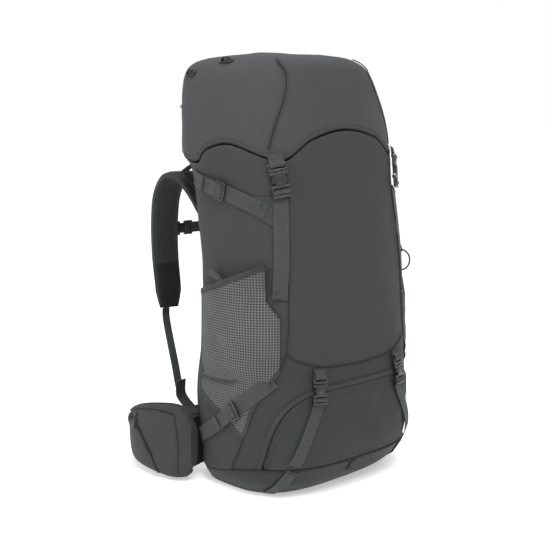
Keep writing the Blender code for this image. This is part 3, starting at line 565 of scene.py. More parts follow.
def ring_mesh(name, rings, finish, body, replaces=(), poles=(None, None), closed=False, edge=None, spin=0.17):
    """A surface over rings of equal count, ended by poles or joined round to the first ring."""
    rings = np.asarray(rings)
    rows, columns = rings.shape[:2]
    if closed:
        rings = np.concatenate([rings, rings[:1]])
    run = np.concatenate([[0], np.cumsum(np.linalg.norm(np.diff(rings.mean(1) * 0 + rings[:, 0], axis=0), axis=1))])
    faces, corners = grid_faces(rows, columns, wrap=True)
    if closed:
        for i in range(columns):
            k = (i + 1) % columns
            faces.append([(rows - 1) * columns + i, (rows - 1) * columns + k, k, i])
            corners += [(rows - 1, i), (rows - 1, i + 1), (rows, i + 1), (rows, i)]
    points = list(rings[:rows].reshape(-1, 3))
    width = 2 * np.pi * spin / columns
    uvs = [(i * width, run[j]) for j, i in corners]
    for pole, row in zip(poles, (0, rows - 1)):
        if pole is None:
            continue
        points.append(np.asarray(pole, float))
        for i in range(columns):
            k = (i + 1) % columns
            faces.append([row * columns + i, row * columns + k, len(points) - 1])
            uvs += [(i * width, run[row]), ((i + 1) * width, run[row]), (i * width, run[row] + 0.01)]
    values = None
    if edge is not None:
        values = np.concatenate([np.asarray(edge).ravel(), np.full(len(points) - rows * columns, 0.02)])
    return add_mesh(name, points, faces, finish, body, uvs, values, replaces)


TAPE_PROFILE = ((-1, -0.2), (-0.97, -0.5), (-0.5, -0.5), (0, -0.5), (0.5, -0.5), (0.97, -0.5), (1, -0.2),
                (1, 0.2), (0.97, 0.5), (0.5, 0.5), (0, 0.5), (-0.5, 0.5), (-0.97, 0.5), (-1, 0.2))


def band(name, centres, out, width, thick, finish, body, replaces=(), across=None, profile=TAPE_PROFILE):
    """Webbing along a line, facing out: a flat section with rounded edges, closed at both ends."""
    centres = np.asarray(centres, float)
    out = np.broadcast_to(np.asarray(out, float), centres.shape)
    ahead = unit(np.gradient(centres, axis=0))
    side = unit(np.cross(out, ahead)) if across is None else unit(np.broadcast_to(across, centres.shape))
    face = unit(np.cross(ahead, side))
    width = np.broadcast_to(width, len(centres))
    thick = np.broadcast_to(thick, len(centres))
    shape = np.array(profile)
    rings = (
        centres[:, None] + side[:, None] * (shape[:, 0][None] * width[:, None] / 2)[..., None]
        + face[:, None] * (shape[:, 1][None] * thick[:, None])[..., None]
    )
    count = len(shape)
    run = np.concatenate([[0], np.cumsum(np.linalg.norm(np.diff(centres, axis=0), axis=1))])
    faces, corners = grid_faces(len(centres), count, wrap=True)
    uvs = [(run[j], shape[i % count, 0] * width[j] / 2) for j, i in corners]
    for row, order in ((0, range(count)), (len(centres) - 1, range(count))):
        faces.append([row * count + i for i in order])
        uvs += [(run[row], shape[i, 0] * width[row] / 2) for i in order]
    rim = np.abs(shape[:, 0])[None] * width[:, None] / 2
    edge = (width[:, None] / 2 - rim)
    ends = np.minimum(run, run[-1] - run)[:, None]
    edge = np.minimum(edge, ends + edge * 0) + 0.002
    return add_mesh(name, rings.reshape(-1, 3), faces, finish, body, uvs, edge.ravel(), replaces)


def cord_tube(name, centres, radius, finish, body, replaces=(), corners=10, closed=False):
    """A round cord along a line, with domed ends."""
    centres = np.asarray(centres, float)
    if closed:
        ahead = unit(np.roll(centres, -1, 0) - np.roll(centres, 1, 0))
    else:
        ahead = unit(np.gradient(centres, axis=0))
    side = np.cross(ahead[0], (0.31, 0.52, 0.80))
    rings, angles = [], np.arange(corners) * 2 * np.pi / corners
    for centre, way in zip(centres, ahead):
        side = unit(side - way * (side @ way))
        up = np.cross(way, side)
        rings.append(centre + radius * (np.cos(angles)[:, None] * side + np.sin(angles)[:, None] * up))
    rings = np.array(rings)
    if closed:
        return ring_mesh(name, rings, finish, body, replaces, closed=True, spin=radius)
    first, last = rings[0], rings[-1]
    start, stop = centres[0] - ahead[0] * radius * 0.5, centres[-1] + ahead[-1] * radius * 0.5
    rings = np.concatenate([
        [centres[0] - ahead[0] * radius * 0.35 + (first - centres[0]) * 0.7], rings,
        [centres[-1] + ahead[-1] * radius * 0.35 + (last - centres[-1]) * 0.7],
    ])
    return ring_mesh(name, rings, finish, body, replaces, poles=(start, stop), spin=radius)


STITCHES = {}


def stitch(body, line, out, pitch=0.0034, long=0.0023, wide=0.0007, high=0.0005):
    """Remember a run of lock stitches along a line, which are all made together at the end."""
    line = np.asarray(line, float)
    out = np.broadcast_to(np.asarray(out, float), line.shape)
    run = np.concatenate([[0], np.cumsum(np.linalg.norm(np.diff(line, axis=0), axis=1))])
    for at in np.arange(pitch / 2, run[-1] - pitch / 2, pitch):
        ends = [np.array([np.interp(at + d, run, line[:, k]) for k in range(3)]) for d in (-long / 2, long / 2)]
        normal = unit(np.array([np.interp(at, run, out[:, k]) for k in range(3)]))
        way = unit(ends[1] - ends[0])
        side = np.cross(normal, way) * wide / 2
        STITCHES.setdefault(body, []).append([
            ends[0] - side - normal * high, ends[0] + side - normal * high,
            ends[1] + side - normal * high, ends[1] - side - normal * high,
            ends[0] - side * 0.5 + way * long * 0.15 + normal * high,
            ends[0] + side * 0.5 + way * long * 0.15 + normal * high,
            ends[1] + side * 0.5 - way * long * 0.15 + normal * high,
            ends[1] - side * 0.5 - way * long * 0.15 + normal * high,
        ])


def make_stitches():
    box = [[3, 2, 1, 0], [4, 5, 6, 7], [0, 1, 5, 4], [1, 2, 6, 5], [2, 3, 7, 6], [3, 0, 4, 7]]
    for body, found in STITCHES.items():
        faces = [[8 * k + i for i in quad] for k in range(len(found)) for quad in box]
        add_mesh(f"stitching_{body}", np.array(found).reshape(-1, 3), faces, THREAD, body)


def skin_line(turns, heights, lift, step=0.003):
    """A line on the skin through matching turns and heights, evenly spaced, with its outward way."""
    count = 160
    t = np.linspace(0, 1, count)
    u = np.linspace(0, 1, len(turns))
    turn, height = np.interp(t, u, turns), np.interp(t, u, heights)
    points = on_skin(turn, height, np.full(count, lift))
    run = np.concatenate([[0], np.cumsum(np.linalg.norm(np.diff(points, axis=0), axis=1))])
    at = np.linspace(0, run[-1], max(4, int(run[-1] / step)))
    turn, height = np.interp(at, run, turn), np.interp(at, run, height)
    return on_skin(turn, height, np.full(len(at), lift)), outward(turn, height)


def seam(name, turns, heights, body, lift=0.0001, radius=0.0008, stitched=0.0035, both=True, finish=PIPING_AND_GAP_SHADE):
    """A felled seam: a thin sunken cord, with a row of stitches beside it."""
    line, out = skin_line(turns, heights, lift)
    cord_tube(name, line, radius, finish, body, corners=6)
    ahead = unit(np.gradient(line, axis=0))
    side = np.cross(out, ahead)
    for way in ((1, -1) if both else (1,)):
        stitch(body, line + side * stitched * way + out * 0.0006, out)

# ---------------------------------------------------------------- hard parts


def box(size, at, bevel=0.0, waist=None):
    """A box of a size round a point, with its edges rounded and, if asked, its middle drawn in."""
    bpy.ops.object.select_all(action="DESELECT")
    bpy.ops.mesh.primitive_cube_add(size=1, location=at)
    made = bpy.context.object
    made.scale = size
    bpy.ops.object.transform_apply(location=False, rotation=False, scale=True)
    bpy.ops.object.mode_set(mode="EDIT")
    bpy.ops.mesh.select_all(action="SELECT")
    if waist:
        bpy.ops.mesh.subdivide(number_cuts=5)
        bpy.ops.object.mode_set(mode="OBJECT")
        for reach, share in ((0.20, (1 + waist) / 2), (0.05, waist / ((1 + waist) / 2))):
            for vertex in made.data.vertices:
                vertex.select = abs(vertex.co.y) < reach * size[1] + 1e-6
            bpy.ops.object.mode_set(mode="EDIT")
            bpy.ops.transform.resize(value=(share, 1, 1), center_override=at)
            bpy.ops.object.mode_set(mode="OBJECT")
        bpy.ops.object.mode_set(mode="EDIT")
    elif bevel:
        bpy.ops.mesh.bevel(offset=bevel, segments=3, affect="EDGES")
    bpy.ops.object.mode_set(mode="OBJECT")
    if waist and bevel:
        rounded = made.modifiers.new("rounded", "BEVEL")
        rounded.width, rounded.segments = bevel, 2
        bpy.ops.object.modifier_apply(modifier="rounded")
    return made


def rod(length, radius, at, along="X", corners=16):
    bpy.ops.object.select_all(action="DESELECT")
    turn = {"X": (0, math.pi / 2, 0), "Y": (math.pi / 2, 0, 0), "Z": (0, 0, 0)}[along]
    bpy.ops.mesh.primitive_cylinder_add(
        vertices=corners, radius=radius, depth=length, location=at, rotation=turn
    )
    made = bpy.context.object
    bpy.ops.object.transform_apply(location=False, rotation=True, scale=False)
    bpy.ops.object.mode_set(mode="EDIT")
    bpy.ops.mesh.select_all(action="SELECT")
    bpy.ops.mesh.bevel(offset=radius * 0.25, segments=2, affect="EDGES")
    bpy.ops.object.mode_set(mode="OBJECT")
    return made


def joined(name, parts):
    bpy.ops.object.select_all(action="DESELECT")
    for part in parts:
        part.select_set(True)
    bpy.context.view_layer.objects.active = parts[0]
    bpy.ops.object.join()
    made = bpy.context.object
    made.name = name
    bpy.ops.object.transform_apply(location=True, rotation=True, scale=True)
    return made


def plug_half(strap):
    """Upper half of a side-release buckle: two bars for the webbing, a guide and two prongs."""
    half = strap / 2 + 0.003
    reach, inner = 0.74 * strap, strap / 2 - 0.0014
    parts = [
        box((2 * half, 0.0044, 0.0052), (0, 0.0022, 0), 0.0012),
        box((2 * half, 0.0036, 0.0044), (0, 0.0112, 0), 0.0011),
        box((0.0034, 0.0115, 0.0046), (half - 0.0017, 0.0068, 0), 0.0010),
        box((0.0034, 0.0115, 0.0046), (0.0017 - half, 0.0068, 0), 0.0010),
        box((0.0044, reach - 0.001, 0.0030), (0, 0.001 - reach / 2, 0), 0.0008),
    ]
    for way in (-1, 1):
        parts.append(box((0.0028, reach, 0.0032), (way * (inner - 0.0016), -reach / 2 + 0.001, 0), 0.0009))
        parts.append(box((0.0040, reach * 0.42, 0.0036), (way * (inner - 0.0013), -reach * 0.76, 0), 0.0012))
    return joined(f"plug_{strap}", parts)


def socket_half(strap, ladder=True):
    """Lower half of a side-release buckle: a drawn-in shell with side windows, then a ladder."""
    half, long = strap / 2 + 0.003, 1.68 * strap
    shell, middle = 0.63 * long, -0.315 * long
    parts = []
    for lift in (-0.00265, 0.00265):
        parts.append(box((2 * half - 0.002, shell - 0.002, 0.0012), (0, middle - 0.0005, lift), 0.0004, 0.50))
    parts += [
        box((2 * half, 0.0046, 0.0064), (0, -0.0031, 0.0), 0.0014),
        box((2 * half, 0.0046, 0.0064), (0, -shell + 0.0023, 0.0), 0.0014),
        box((0.0090, shell * 0.5, 0.0008), (0, middle, 0.0034), 0.0003),
        box((0.0020, shell * 0.6, 0.0009), (0.0075, middle, 0.0034), 0.0003),
        box((0.0020, shell * 0.6, 0.0009), (-0.0075, middle, 0.0034), 0.0003),
    ]
    if ladder:
        parts += [
            box((2 * half, 0.0036, 0.0040), (0, -0.795 * long, 0.0004), 0.0010),
            box((2 * half, 0.0040, 0.0050), (0, -0.955 * long, 0.0004), 0.0013),
            box((0.0032, 0.40 * long, 0.0046), (half - 0.0016, -0.80 * long, 0.0), 0.0010),
            box((0.0032, 0.40 * long, 0.0046), (0.0016 - half, -0.80 * long, 0.0), 0.0010),
        ]
    return joined(f"socket_{strap}_{ladder}", parts)


def ladder_lock(strap, long=0.021):
    """A frame with a toothed middle bar and a lifting tab."""
    half = strap / 2 + 0.003
    parts = [
        box((2 * half, 0.0034, 0.0036), (0, -long / 2 + 0.0017, 0), 0.0010),
        box((2 * half, 0.0034, 0.0036), (0, long / 2 - 0.0017, 0), 0.0010),
        box((2 * half - 0.003, 0.0030, 0.0034), (0, 0, 0.0002), 0.0008),
        box((0.0032, long - 0.001, 0.0034), (half - 0.0016, 0, 0), 0.0010),
        box((0.0032, long - 0.001, 0.0034), (0.0016 - half, 0, 0), 0.0010),
        box((half, 0.0030, 0.0014), (0, long / 2, 0.0016), 0.0006),
    ]
    for k in range(-4, 5):
        parts.append(box((0.0010, 0.0026, 0.0012), (k * strap / 10, 0, 0.0018), 0.0003))
    return joined(f"ladder_{strap}", parts)


def pull_tab():
    """Zip slider, a short link, and a moulded grip with ribs."""
    parts = [
        box((0.0070, 0.0050, 0.0030), (0, -0.0028, 0.0), 0.0010),
        rod(0.0060, 0.0010, (0, -0.0050, 0.0006)),
        box((0.0018, 0.0070, 0.0016), (0.0022, -0.0085, 0), 0.0006),
        box((0.0018, 0.0070, 0.0016), (-0.0022, -0.0085, 0), 0.0006),
        box((0.0084, 0.0180, 0.0030), (0, -0.0205, 0), 0.0013),
    ]
    for k in range(5):
        parts.append(box((0.0070, 0.0012, 0.0035), (0, -0.0150 - 0.0028 * k, 0), 0.0004))
    return joined("pull", parts)


PROTOTYPES = {
    "plug_wide": plug_half(WIDE), "plug_slim": plug_half(SLIM), "socket_wide": socket_half(WIDE),
    "socket_slim": socket_half(SLIM), "socket_plain": socket_half(SLIM, False),
    "lock_wide": ladder_lock(WIDE), "lock_slim": ladder_lock(SLIM, 0.026), "pull": pull_tab(),
}


def placed(kind, name, frame, lift, body, replaces=(), finish=None):
    """A copy of a hard part on a frame of point, right, up and out."""
    point, right, up, normal = (np.asarray(v, float) for v in frame)
    made = PROTOTYPES[kind].copy()
    made.data = PROTOTYPES[kind].data.copy()
    made.name = name
    bpy.context.scene.collection.objects.link(made)
    at = point + normal * lift
    turn = Matrix([[right[k], up[k], normal[k], at[k]] for k in range(3)] + [[0, 0, 0, 1]])
    made.data.transform(turn)
    return settle(made, finish or ACETAL, body, replaces, 35)


def skin_frame(turn, share, side, down=0.050, up=0.012):
    height, turn = share * HEIGHT, side * turn
    ahead = unit(skin(turn, height + up) - skin(turn, height - down))
    normal = outward(turn, height)
    right = unit(np.cross(ahead, normal))
    return skin(turn, height), right, ahead, unit(np.cross(right, ahead))


def in_frame(frame, places):
    """Points of a frame: how far along its up vector and how far out."""
    point, _, up, normal = frame
    return np.array([point + up * y + normal * z for y, z in places])


def smooth_line(points, step=0.0015):
    fine = eased([tuple(p) for p in points], max(24, len(points) * 8))
    return even(fine, step)


def plug_webbing(name, frame, lift, width, body, tail=0.030):
    """Webbing looped round the upper bar of a plug and sewn to itself."""
    loop = [
        (tail, lift - 0.0035), (0.018, lift - 0.0024), (0.0135, lift - 0.0030), (0.0088, lift - 0.0024),
        (0.0070, lift), (0.0085, lift + 0.0028), (0.0112, lift + 0.0036), (0.0140, lift + 0.0030),
        (0.0180, lift + 0.0002), (0.0215, lift - 0.0012), (tail - 0.002, lift - 0.0016),
    ]
    line = smooth_line(in_frame(frame, loop))
    right = frame[1]
    made = band(name, line, frame[3], width - 0.001, STRAP, WEBBING, body, across=right)
    for y in (0.0200, 0.0225, tail - 0.004):
        middle = in_frame(frame, [(y, lift - 0.0002 if y < 0.022 else lift - 0.0008)])[0]
        ends = np.array([middle - right * (width / 2 - 0.002), middle + right * (width / 2 - 0.002)])
        stitch(body, ends, frame[3], pitch=0.0026, long=0.0018)
    return made


def strap_points(stations, side, lift, count=90):
    table = [(i / (len(stations) - 1), *s) for i, s in enumerate(stations)]
    t = np.linspace(0, 1, count)
    turn = np.array([side * smooth(table, x, 1) for x in t])
    height = np.array([smooth(table, x, 2) * HEIGHT for x in t])
    return on_skin(turn, height, np.full(count, lift)), outward(turn, height)


def bar_tack(body, centre, across, along, out, width, rows=2, gap=0.0028):
    for k in range(rows):
        at = centre + along * (k - (rows - 1) / 2) * gap
        stitch(body, np.array([at - across * width / 2, at + across * width / 2]), out, 0.0016, 0.0013)


# ---------------------------------------------------------------- cloth panels


def patch(left, right, low, high, columns, rows):
    """Turns and heights over a panel between two turns and two heights, each along a curve."""
    u, v = np.meshgrid(np.linspace(0, 1, columns), np.linspace(0, 1, rows))
    middle = (low(0.0) + high(0.0)) / 2
    turn = left(middle) * (1 - u) + right(middle) * u
    for _ in range(6):
        height = low(turn) * (1 - v) + high(turn) * v
        turn = left(height) * (1 - u) + right(height) * u
    return turn, height, u, v


def rim_fall(u, v, share=0.06):
    """0 at the rim of a panel and 1 away from it."""
    near = np.minimum.reduce([u, 1 - u, v, 1 - v]) / share
    near = np.clip(near, 0, 1)
    return near * near * (3 - 2 * near)


def folds(turn, height, amount, size, seed, stretch=(1, 1, 1)):
    points = skin(turn, height) * np.array(stretch)
    return -amount * np.clip(0.5 + 0.5 * ripple(points, size, seed), 0, 1)


def panel(name, turn, height, lift, inner, finish, body, replaces=()):
    outer = on_skin(turn, height, lift)
    return sheet_between(name, outer, on_skin(turn, height, inner + lift * 0), finish, body, replaces)


HALF_GAP = math.degrees(GAP / WIDTH)


def cloth_high(turn):
    return lid_edge(turn) - LID_GAP


def cloth_low(turn):
    return base_edge(turn) + 0.0006


def build_walls():
    turn, height, u, v = patch(
        lambda z: HALF_GAP - side_seam(z) + 0 * z, lambda z: side_seam(z) - HALF_GAP + 0 * z,
        lambda t: YOKE_LINE(np.abs(t)) * HEIGHT + 0.0006, cloth_high, 150, 130,
    )
    drape = folds(turn, height, 0.0026, 0.16, 3, (1.6, 1.6, 0.6)) + folds(turn, height, 0.0012, 0.05, 4)
    panel("front_cloth", turn, height, drape * rim_fall(u, v), -WALL, SHELL, "pack",
          ("front_panel",))
    build_surround()
    for side, word in SIDES:
        turn, height, u, v = patch(
            lambda z: side * (side_seam(z) + HALF_GAP), lambda z: side * (BACK_SEAM - HALF_GAP) + 0 * z,
            cloth_low, cloth_high, 90, 170,
        )
        drape = folds(turn, height, 0.0020, 0.13, 10 + side) + folds(turn, height, 0.0010, 0.045, 20 + side)
        panel(f"side_cloth_{word}", turn, height, drape * rim_fall(u, v), -WALL, SHELL, "pack",
              (f"side_panel_{word}",))
        heights = np.linspace(0.06, 0.757, 60) * HEIGHT
        seam(f"side_seam_{word}", side * side_seam(heights), heights, "pack", lift=0.0004)
        heights = np.linspace(0.05, 0.765, 50) * HEIGHT
        seam(f"back_seam_{word}", np.full(50, side * BACK_SEAM), heights, "pack", lift=0.0004)
    turn, height, u, v = patch(
        lambda z: BACK_SEAM + HALF_GAP + 0 * z, lambda z: 360 - BACK_SEAM - HALF_GAP + 0 * z,
        cloth_low, cloth_high, 80, 120,
    )
    panel("back_cloth", turn, height, folds(turn, height, 0.0012, 0.10, 30) * rim_fall(u, v), -WALL,
          LINING, "pack", ("back_wall",))
    turns = np.linspace(-54.5, 54.5, 60)
    seam("yoke_seam", turns, YOKE_LINE(np.abs(turns)) * HEIGHT, "pack", lift=0.0004)


def turned_line(points, count):
    """Evenly spaced turns and heights along a line on the skin."""
    turn, height = points
    place = skin(turn, height)
    run = np.concatenate([[0], np.cumsum(np.linalg.norm(np.diff(place, axis=0), axis=1))])
    at = np.linspace(0, run[-1], count)
    return np.interp(at, run, turn), np.interp(at, run, height)


def arch_half(gap=0.0, count=80):
    """Right-hand half of the arch, from the base up to the middle."""
    u = np.linspace(1, 0, 200)
    turn = ARCH_TURN * np.sin(np.radians(90 * u))
    height = zip_arch(turn) + gap
    height[0] = base_edge(0)
    turn = turn * (1 + math.degrees(gap / WIDTH) * 2 / ARCH_TURN)
    return turned_line((turn, height), count)


def build_surround():
    """The strip of the front between the arched zip and the seams round it."""
    turn, height = arch_half(0.003, 400)
    corner = int(np.argmin(np.abs(turn - 60.5)))
    inner = [turned_line((turn[: corner + 1], height[: corner + 1]), 50),
             turned_line((turn[corner:], height[corner:]), 46)]
    rise = np.linspace(0.0575, 0.3405, 120) * HEIGHT
    across = np.linspace(54.3, 0, 90)
    outer = [turned_line((side_seam(rise) - HALF_GAP, rise), 50),
             turned_line((across, YOKE_LINE(across) * HEIGHT - 0.0006), 46)]
    lines = []
    for parts in (inner, outer):
        t = np.concatenate([parts[0][0][:-1], parts[1][0]])
        z = np.concatenate([parts[0][1][:-1], parts[1][1]])
        lines.append((np.concatenate([t[:-1], -t[::-1]]), np.concatenate([z[:-1], z[::-1]])))
    v = np.linspace(0, 1, 16)[:, None]
    turn = lines[0][0][None] * (1 - v) + lines[1][0][None] * v
    height = lines[0][1][None] * (1 - v) + lines[1][1][None] * v
    height = np.maximum(height, base_edge(turn) + 0.0006)
    u = np.linspace(0, 1, turn.shape[1])[None] + 0 * v
    drape = folds(turn, height, 0.0016, 0.06, 5) * rim_fall(u, v + 0 * u, 0.2)
    panel("surround_cloth", turn, height, drape, -WALL, FLAP_CLOTH, "pack")


def build_zip():
    """The arched zip: two coils, a stitched cloth guard above them, and a row of stitches below."""
    for gap, body, lift, word in ((0.0021, "pack", -0.0004, "outer"), (0.0006, "compartment_flap", -0.0004, "inner")):
        turn, height = arch_half(gap, 150)
        turn = np.concatenate([turn[:-1], -turn[::-1]])
        height = np.concatenate([height[:-1], height[::-1]])
        line, out = skin_line(turn, height, lift, 0.002)
        cord_tube(f"zip_coil_{word}", line, 0.0012, PIPING_AND_GAP_SHADE, body, corners=8)
    turn, height = arch_half(0.0052, 150)
    turn = np.concatenate([turn[:-1], -turn[::-1]])
    height = np.concatenate([height[:-1], height[::-1]])
    line, out = skin_line(turn, height, 0.0010, 0.003)
    band("zip_guard", line, out, 0.0080, 0.0012, FLAP_CLOTH, "pack")
    ahead = unit(np.gradient(line, axis=0))
    stitch("pack", line + np.cross(out, ahead) * 0.0026 + out * 0.0008, out)
    turn, height = arch_half(-0.0060, 150)
    turn = np.concatenate([turn[:-1], -turn[::-1]])
    height = np.concatenate([height[:-1], height[::-1]])
    line, out = skin_line(turn, height, 0.0006, 0.003)
    stitch("compartment_flap", line, out)


def build_flap():
    low = BASE_FRONT * HEIGHT + 0.0012
    u, v = np.meshgrid(np.linspace(-1, 1, 120), np.linspace(0, 1, 44))
    turn = ARCH_TURN * 0.985 * np.sin(np.radians(90 * u))
    height = low * (1 - v) + zip_arch(turn) * v
    near = rim_fall((u + 1) / 2, v, 0.08)
    drape = (folds(turn, height, 0.0030, 0.07, 7) + folds(turn, height, 0.0012, 0.03, 8)) * near
    panel("flap_cloth", turn, height, drape, -WALL, FLAP_CLOTH, "compartment_flap",
          ("compartment_panel",))


def build_base():
    around = np.arange(160) * 360 / 160
    top = base_edge(around) - 0.0012
    rings, foot = [], skin(around, 0.0)
    middle = foot.mean(0)
    for share in (0.04, 0.3, 0.6, 0.85, 0.96):
        ring = middle + (foot - middle) * share
        ring[:, 2] = 0.0
        rings.append(ring)
    for share in np.linspace(0, 1, 16):
        fall = min(1, share * 5) * min(1, (1 - share) * 6)
        lift = folds(around, share * top, 0.0012, 0.07, 9) * fall
        rings.append(on_skin(around, share * top, lift))
    for share in np.linspace(1, 0.55, 6):
        rings.append(on_skin(around, share * top, np.full(160, -WALL)))
    inner = on_skin(around, np.full(160, 0.004), np.full(160, -0.006))
    inner[:, 2] = WALL
    for share in (1.0, 0.8, 0.4, 0.04):
        rings.append(middle * [1, 1, 0] + [0, 0, WALL] + (inner - middle - [0, 0, WALL]) * share)
    poles = (middle * [1, 1, 0], middle * [1, 1, 0] + [0, 0, WALL])
    ring_mesh("base_cloth", rings, BASE_CLOTH_WITH_PAINTED_SHADE, "pack", ("base_panel",), poles)
    turns = np.linspace(-88, 88, 90)
    seam("base_seam", turns, base_edge(turns) - 0.0002, "pack", lift=0.0008, radius=0.0014,
         both=False)
    turns = np.linspace(118, 242, 80)
    seam("base_seam_back", turns, base_edge(turns) - 0.0002, "pack", lift=0.0008, radius=0.0014)


def build_lid():
    around = np.arange(200) * 360 / 200
    edge = lid_edge(around)
    climb = np.sin(np.radians(90 * np.linspace(0, 0.965, 30)))
    rings, lifts = [], []
    for t in climb[::-1]:
        height = edge + (HEIGHT - edge) * t
        fall = min(1, t * 6)
        lift = (folds(around, height, 0.0022, 0.10, 12) + folds(around, height, 0.0012, 0.04, 13)) * fall
        rings.append(on_skin(around, height, lift))
    for t in climb:
        rings.append(on_skin(around, edge + (HEIGHT - edge) * t, np.full(200, -LID_WALL)))
    first, last = np.array(rings[0]).mean(0), np.array(rings[-1]).mean(0)
    poles = (first + [0, 0, 0.0006], last)
    ring_mesh("lid_cloth", rings, LID_CLOTH_PAINTED_LIGHTER, "lid", ("lid_shell",), poles)
    turns = np.linspace(0, 360, 361)[:-1]
    cord_tube("lid_edge", on_skin(turns, lid_edge(turns) + 0.0006, 0 * turns + 0.0002), 0.0011, PIPING_AND_GAP_SHADE, "lid",
              corners=8, closed=True)
    line, out = skin_line(turns, lid_edge(turns) + 0.0075, 0.0006)
    stitch("lid", line, out)
    for side, word in SIDES:
        start = lid_edge(54.0) / HEIGHT + 0.018
        shares = np.linspace(start, 0.982, 60)
        seam(f"lid_seam_{word}", side * LID_SEAM_LINE(shares), shares * HEIGHT, "lid", radius=0.0009)
    turns = np.linspace(130, 230, 60)
    seam("lid_zip_seam", turns, np.full(60, 0.873 * HEIGHT), "lid", lift=0.0010, radius=0.0018)
    height = max(share for _, share in LID_EDGE) * HEIGHT + 0.010
    edge = on_skin(around, np.full(200, height), np.full(200, -LID_WALL - 0.0025))
    middle = np.array([0, edge[:, 1].mean(), height])
    low = [middle + (edge - middle) * s for s in (0.03, 0.35, 0.7, 0.96, 1.0)]
    high = [ring + [0, 0, WALL] for ring in low[::-1]]
    ring_mesh("lid_lining", low + high, LINING, "lid", ("lid_floor",), (middle, middle + [0, 0, WALL]))


def build_inside():
    """Divider, snow collar with its drawcord and lock, and the frame wire's finish."""
    around = np.arange(120) * 3.0
    height = 0.322 * HEIGHT
    lift = np.where(from_front(around) > 120, -0.022, -0.015)
    edge = on_skin(around, np.full(120, height), lift)
    middle = np.array([0, edge[:, 1].mean(), height])
    low = [middle + (edge - middle) * s for s in (0.03, 0.35, 0.7, 0.97, 1.0)]
    high = [ring + [0, 0, WALL] for ring in low[::-1]]
    ring_mesh("divider_cloth", low + high, LINING, "divider", ("floating_divider",),
              (middle, middle + [0, 0, WALL]))
    low, high = 0.700 * HEIGHT, 0.812 * HEIGHT
    around = np.arange(240) * 1.5
    outside, inside = [], []
    for t in np.linspace(0, 1, 16):
        lift = -WALL - 0.002 - 0.018 * t - 0.0008 * t * (1 + np.sin(np.radians(around * 30)))
        z = low + (high - low) * t + 0 * around
        outside.append(on_skin(around, z, lift))
        inside.append(on_skin(around, z, lift - 0.002))
    ring_mesh("collar_cloth", outside + inside[::-1], LINING, "pack", ("snow_collar",), closed=True)
    level = high - 0.006
    clear = -WALL - 0.002 - 0.018 * (level - low) / (high - low) + 0.0052
    first = math.degrees(0.009 / abs(float(skin(0, level)[1])))
    turns = np.linspace(first, 360 - first, 260)
    line = even(on_skin(turns, np.full(260, level), np.full(260, clear)), 0.004)
    lock = box((0.0156, 0.0080, 0.0130), tuple(on_skin(0.0, level, np.array(clear)) - [0, 0, 0]), 0.0026)
    lock.name = "drawcord_lock"
    settle(lock, BLACK_ACETAL, "pack", ("cord_lock",))
    draw = cord_tube("drawcord", line, 0.0015, CORD, "pack", ("collar_drawcord",))
    wire = frame["nodes"]["perimeter_frame"]
    wire.data.materials.clear()
    wire.data.materials.append(STEEL)


POCKET_TOP = ((61, 0.545), (84, 0.502), (109, 0.463))
POCKET_FOOT = ((54, 0.345), (57.5, 0.31), (62, 0.275), (70, 0.222), (78, 0.152), (88, 0.178), (99, 0.203), (112, 0.232))


def build_pockets():
    top, foot = curve(POCKET_TOP), curve(POCKET_FOOT)
    bend = lambda z: 57.5 + 6.5 * np.clip((z / HEIGHT - 0.42) / 0.04, 0, 1)
    for side, word in SIDES:
        turn, height, u, v = patch(
            lambda z: side * bend(z), lambda z: side * 109.0 + 0 * z,
            lambda t: foot(np.abs(t)) * HEIGHT, lambda t: top(np.abs(t)) * HEIGHT, 90, 130,
        )
        level = height / HEIGHT
        above = np.clip((level - 0.262 - 0.00 * u) / 0.055, 0, 1)
        above = above * above * (3 - 2 * above)
        bulge = 0.015 * np.sin(np.pi * u) ** 0.55 * np.minimum(1, 0.5 + 0.5 * v) * above
        sag = 0.0028 * ripple(skin(turn, height) * [1.0, 1.0, 1.6], 0.055, 40 + side) * above * np.sin(np.pi * u)
        under = 0.0002 + 0.0006 * above
        outer = on_skin(turn, height, under + bulge + np.maximum(sag, -bulge) + 0.0008 + 0.0010 * above)
        inner = on_skin(turn, height, under + bulge + np.maximum(sag, -bulge))
        arc = skin(np.linspace(50, 115, 200), 0.35 * HEIGHT)
        arc = np.concatenate([[0], np.cumsum(np.linalg.norm(np.diff(arc, axis=0), axis=1))])
        flat = np.stack([np.interp(np.abs(turn), np.linspace(50, 115, 200), arc), height], -1)
        sheet_between(f"pocket_net_{word}", outer, inner, POCKET_NET, "pack",
                      (f"side_pocket_{word}",), flat)
        out = outward(turn, height)
        band(f"pocket_hem_{word}", outer[-1] - [0, 0, 0.004] + out[-1] * 0.0006, out[-1], 0.009, 0.0020,
             BINDING, "pack")
        line = outer[-1] - [0, 0, 0.0065] + out[-1] * 0.0020
        stitch("pack", line, out[-1])
        rows = slice(26, 128)
        band(f"pocket_binding_{word}", outer[rows, -1] + out[rows, -1] * 0.0008, out[rows, -1], 0.010,
             0.0016, BINDING, "pack")
        fold, fold_out = skin_line(side * np.array([58.5, 70, 84, 96, 108]),
                                   np.array([0.318, 0.300, 0.268, 0.262, 0.262]) * HEIGHT, 0.0022)
        band(f"pocket_seam_{word}", fold, fold_out, 0.006, 0.0010, BINDING, "pack")
        rim, rim_out = outer[0], out[0]
        band(f"pocket_foot_{word}", rim + rim_out * 0.0003, rim_out, 0.007, 0.0009, BINDING, "pack")
        tab, tab_out = skin_line(side * np.array([97, 91, 86]), np.array([0.513, 0.502, 0.487]) * HEIGHT, 0.0120, 0.002)
        band(f"pocket_tab_{word}", tab, tab_out, 0.012, 0.0016, WEBBING, "pack")

# ---------------------------------------------------------------- straps


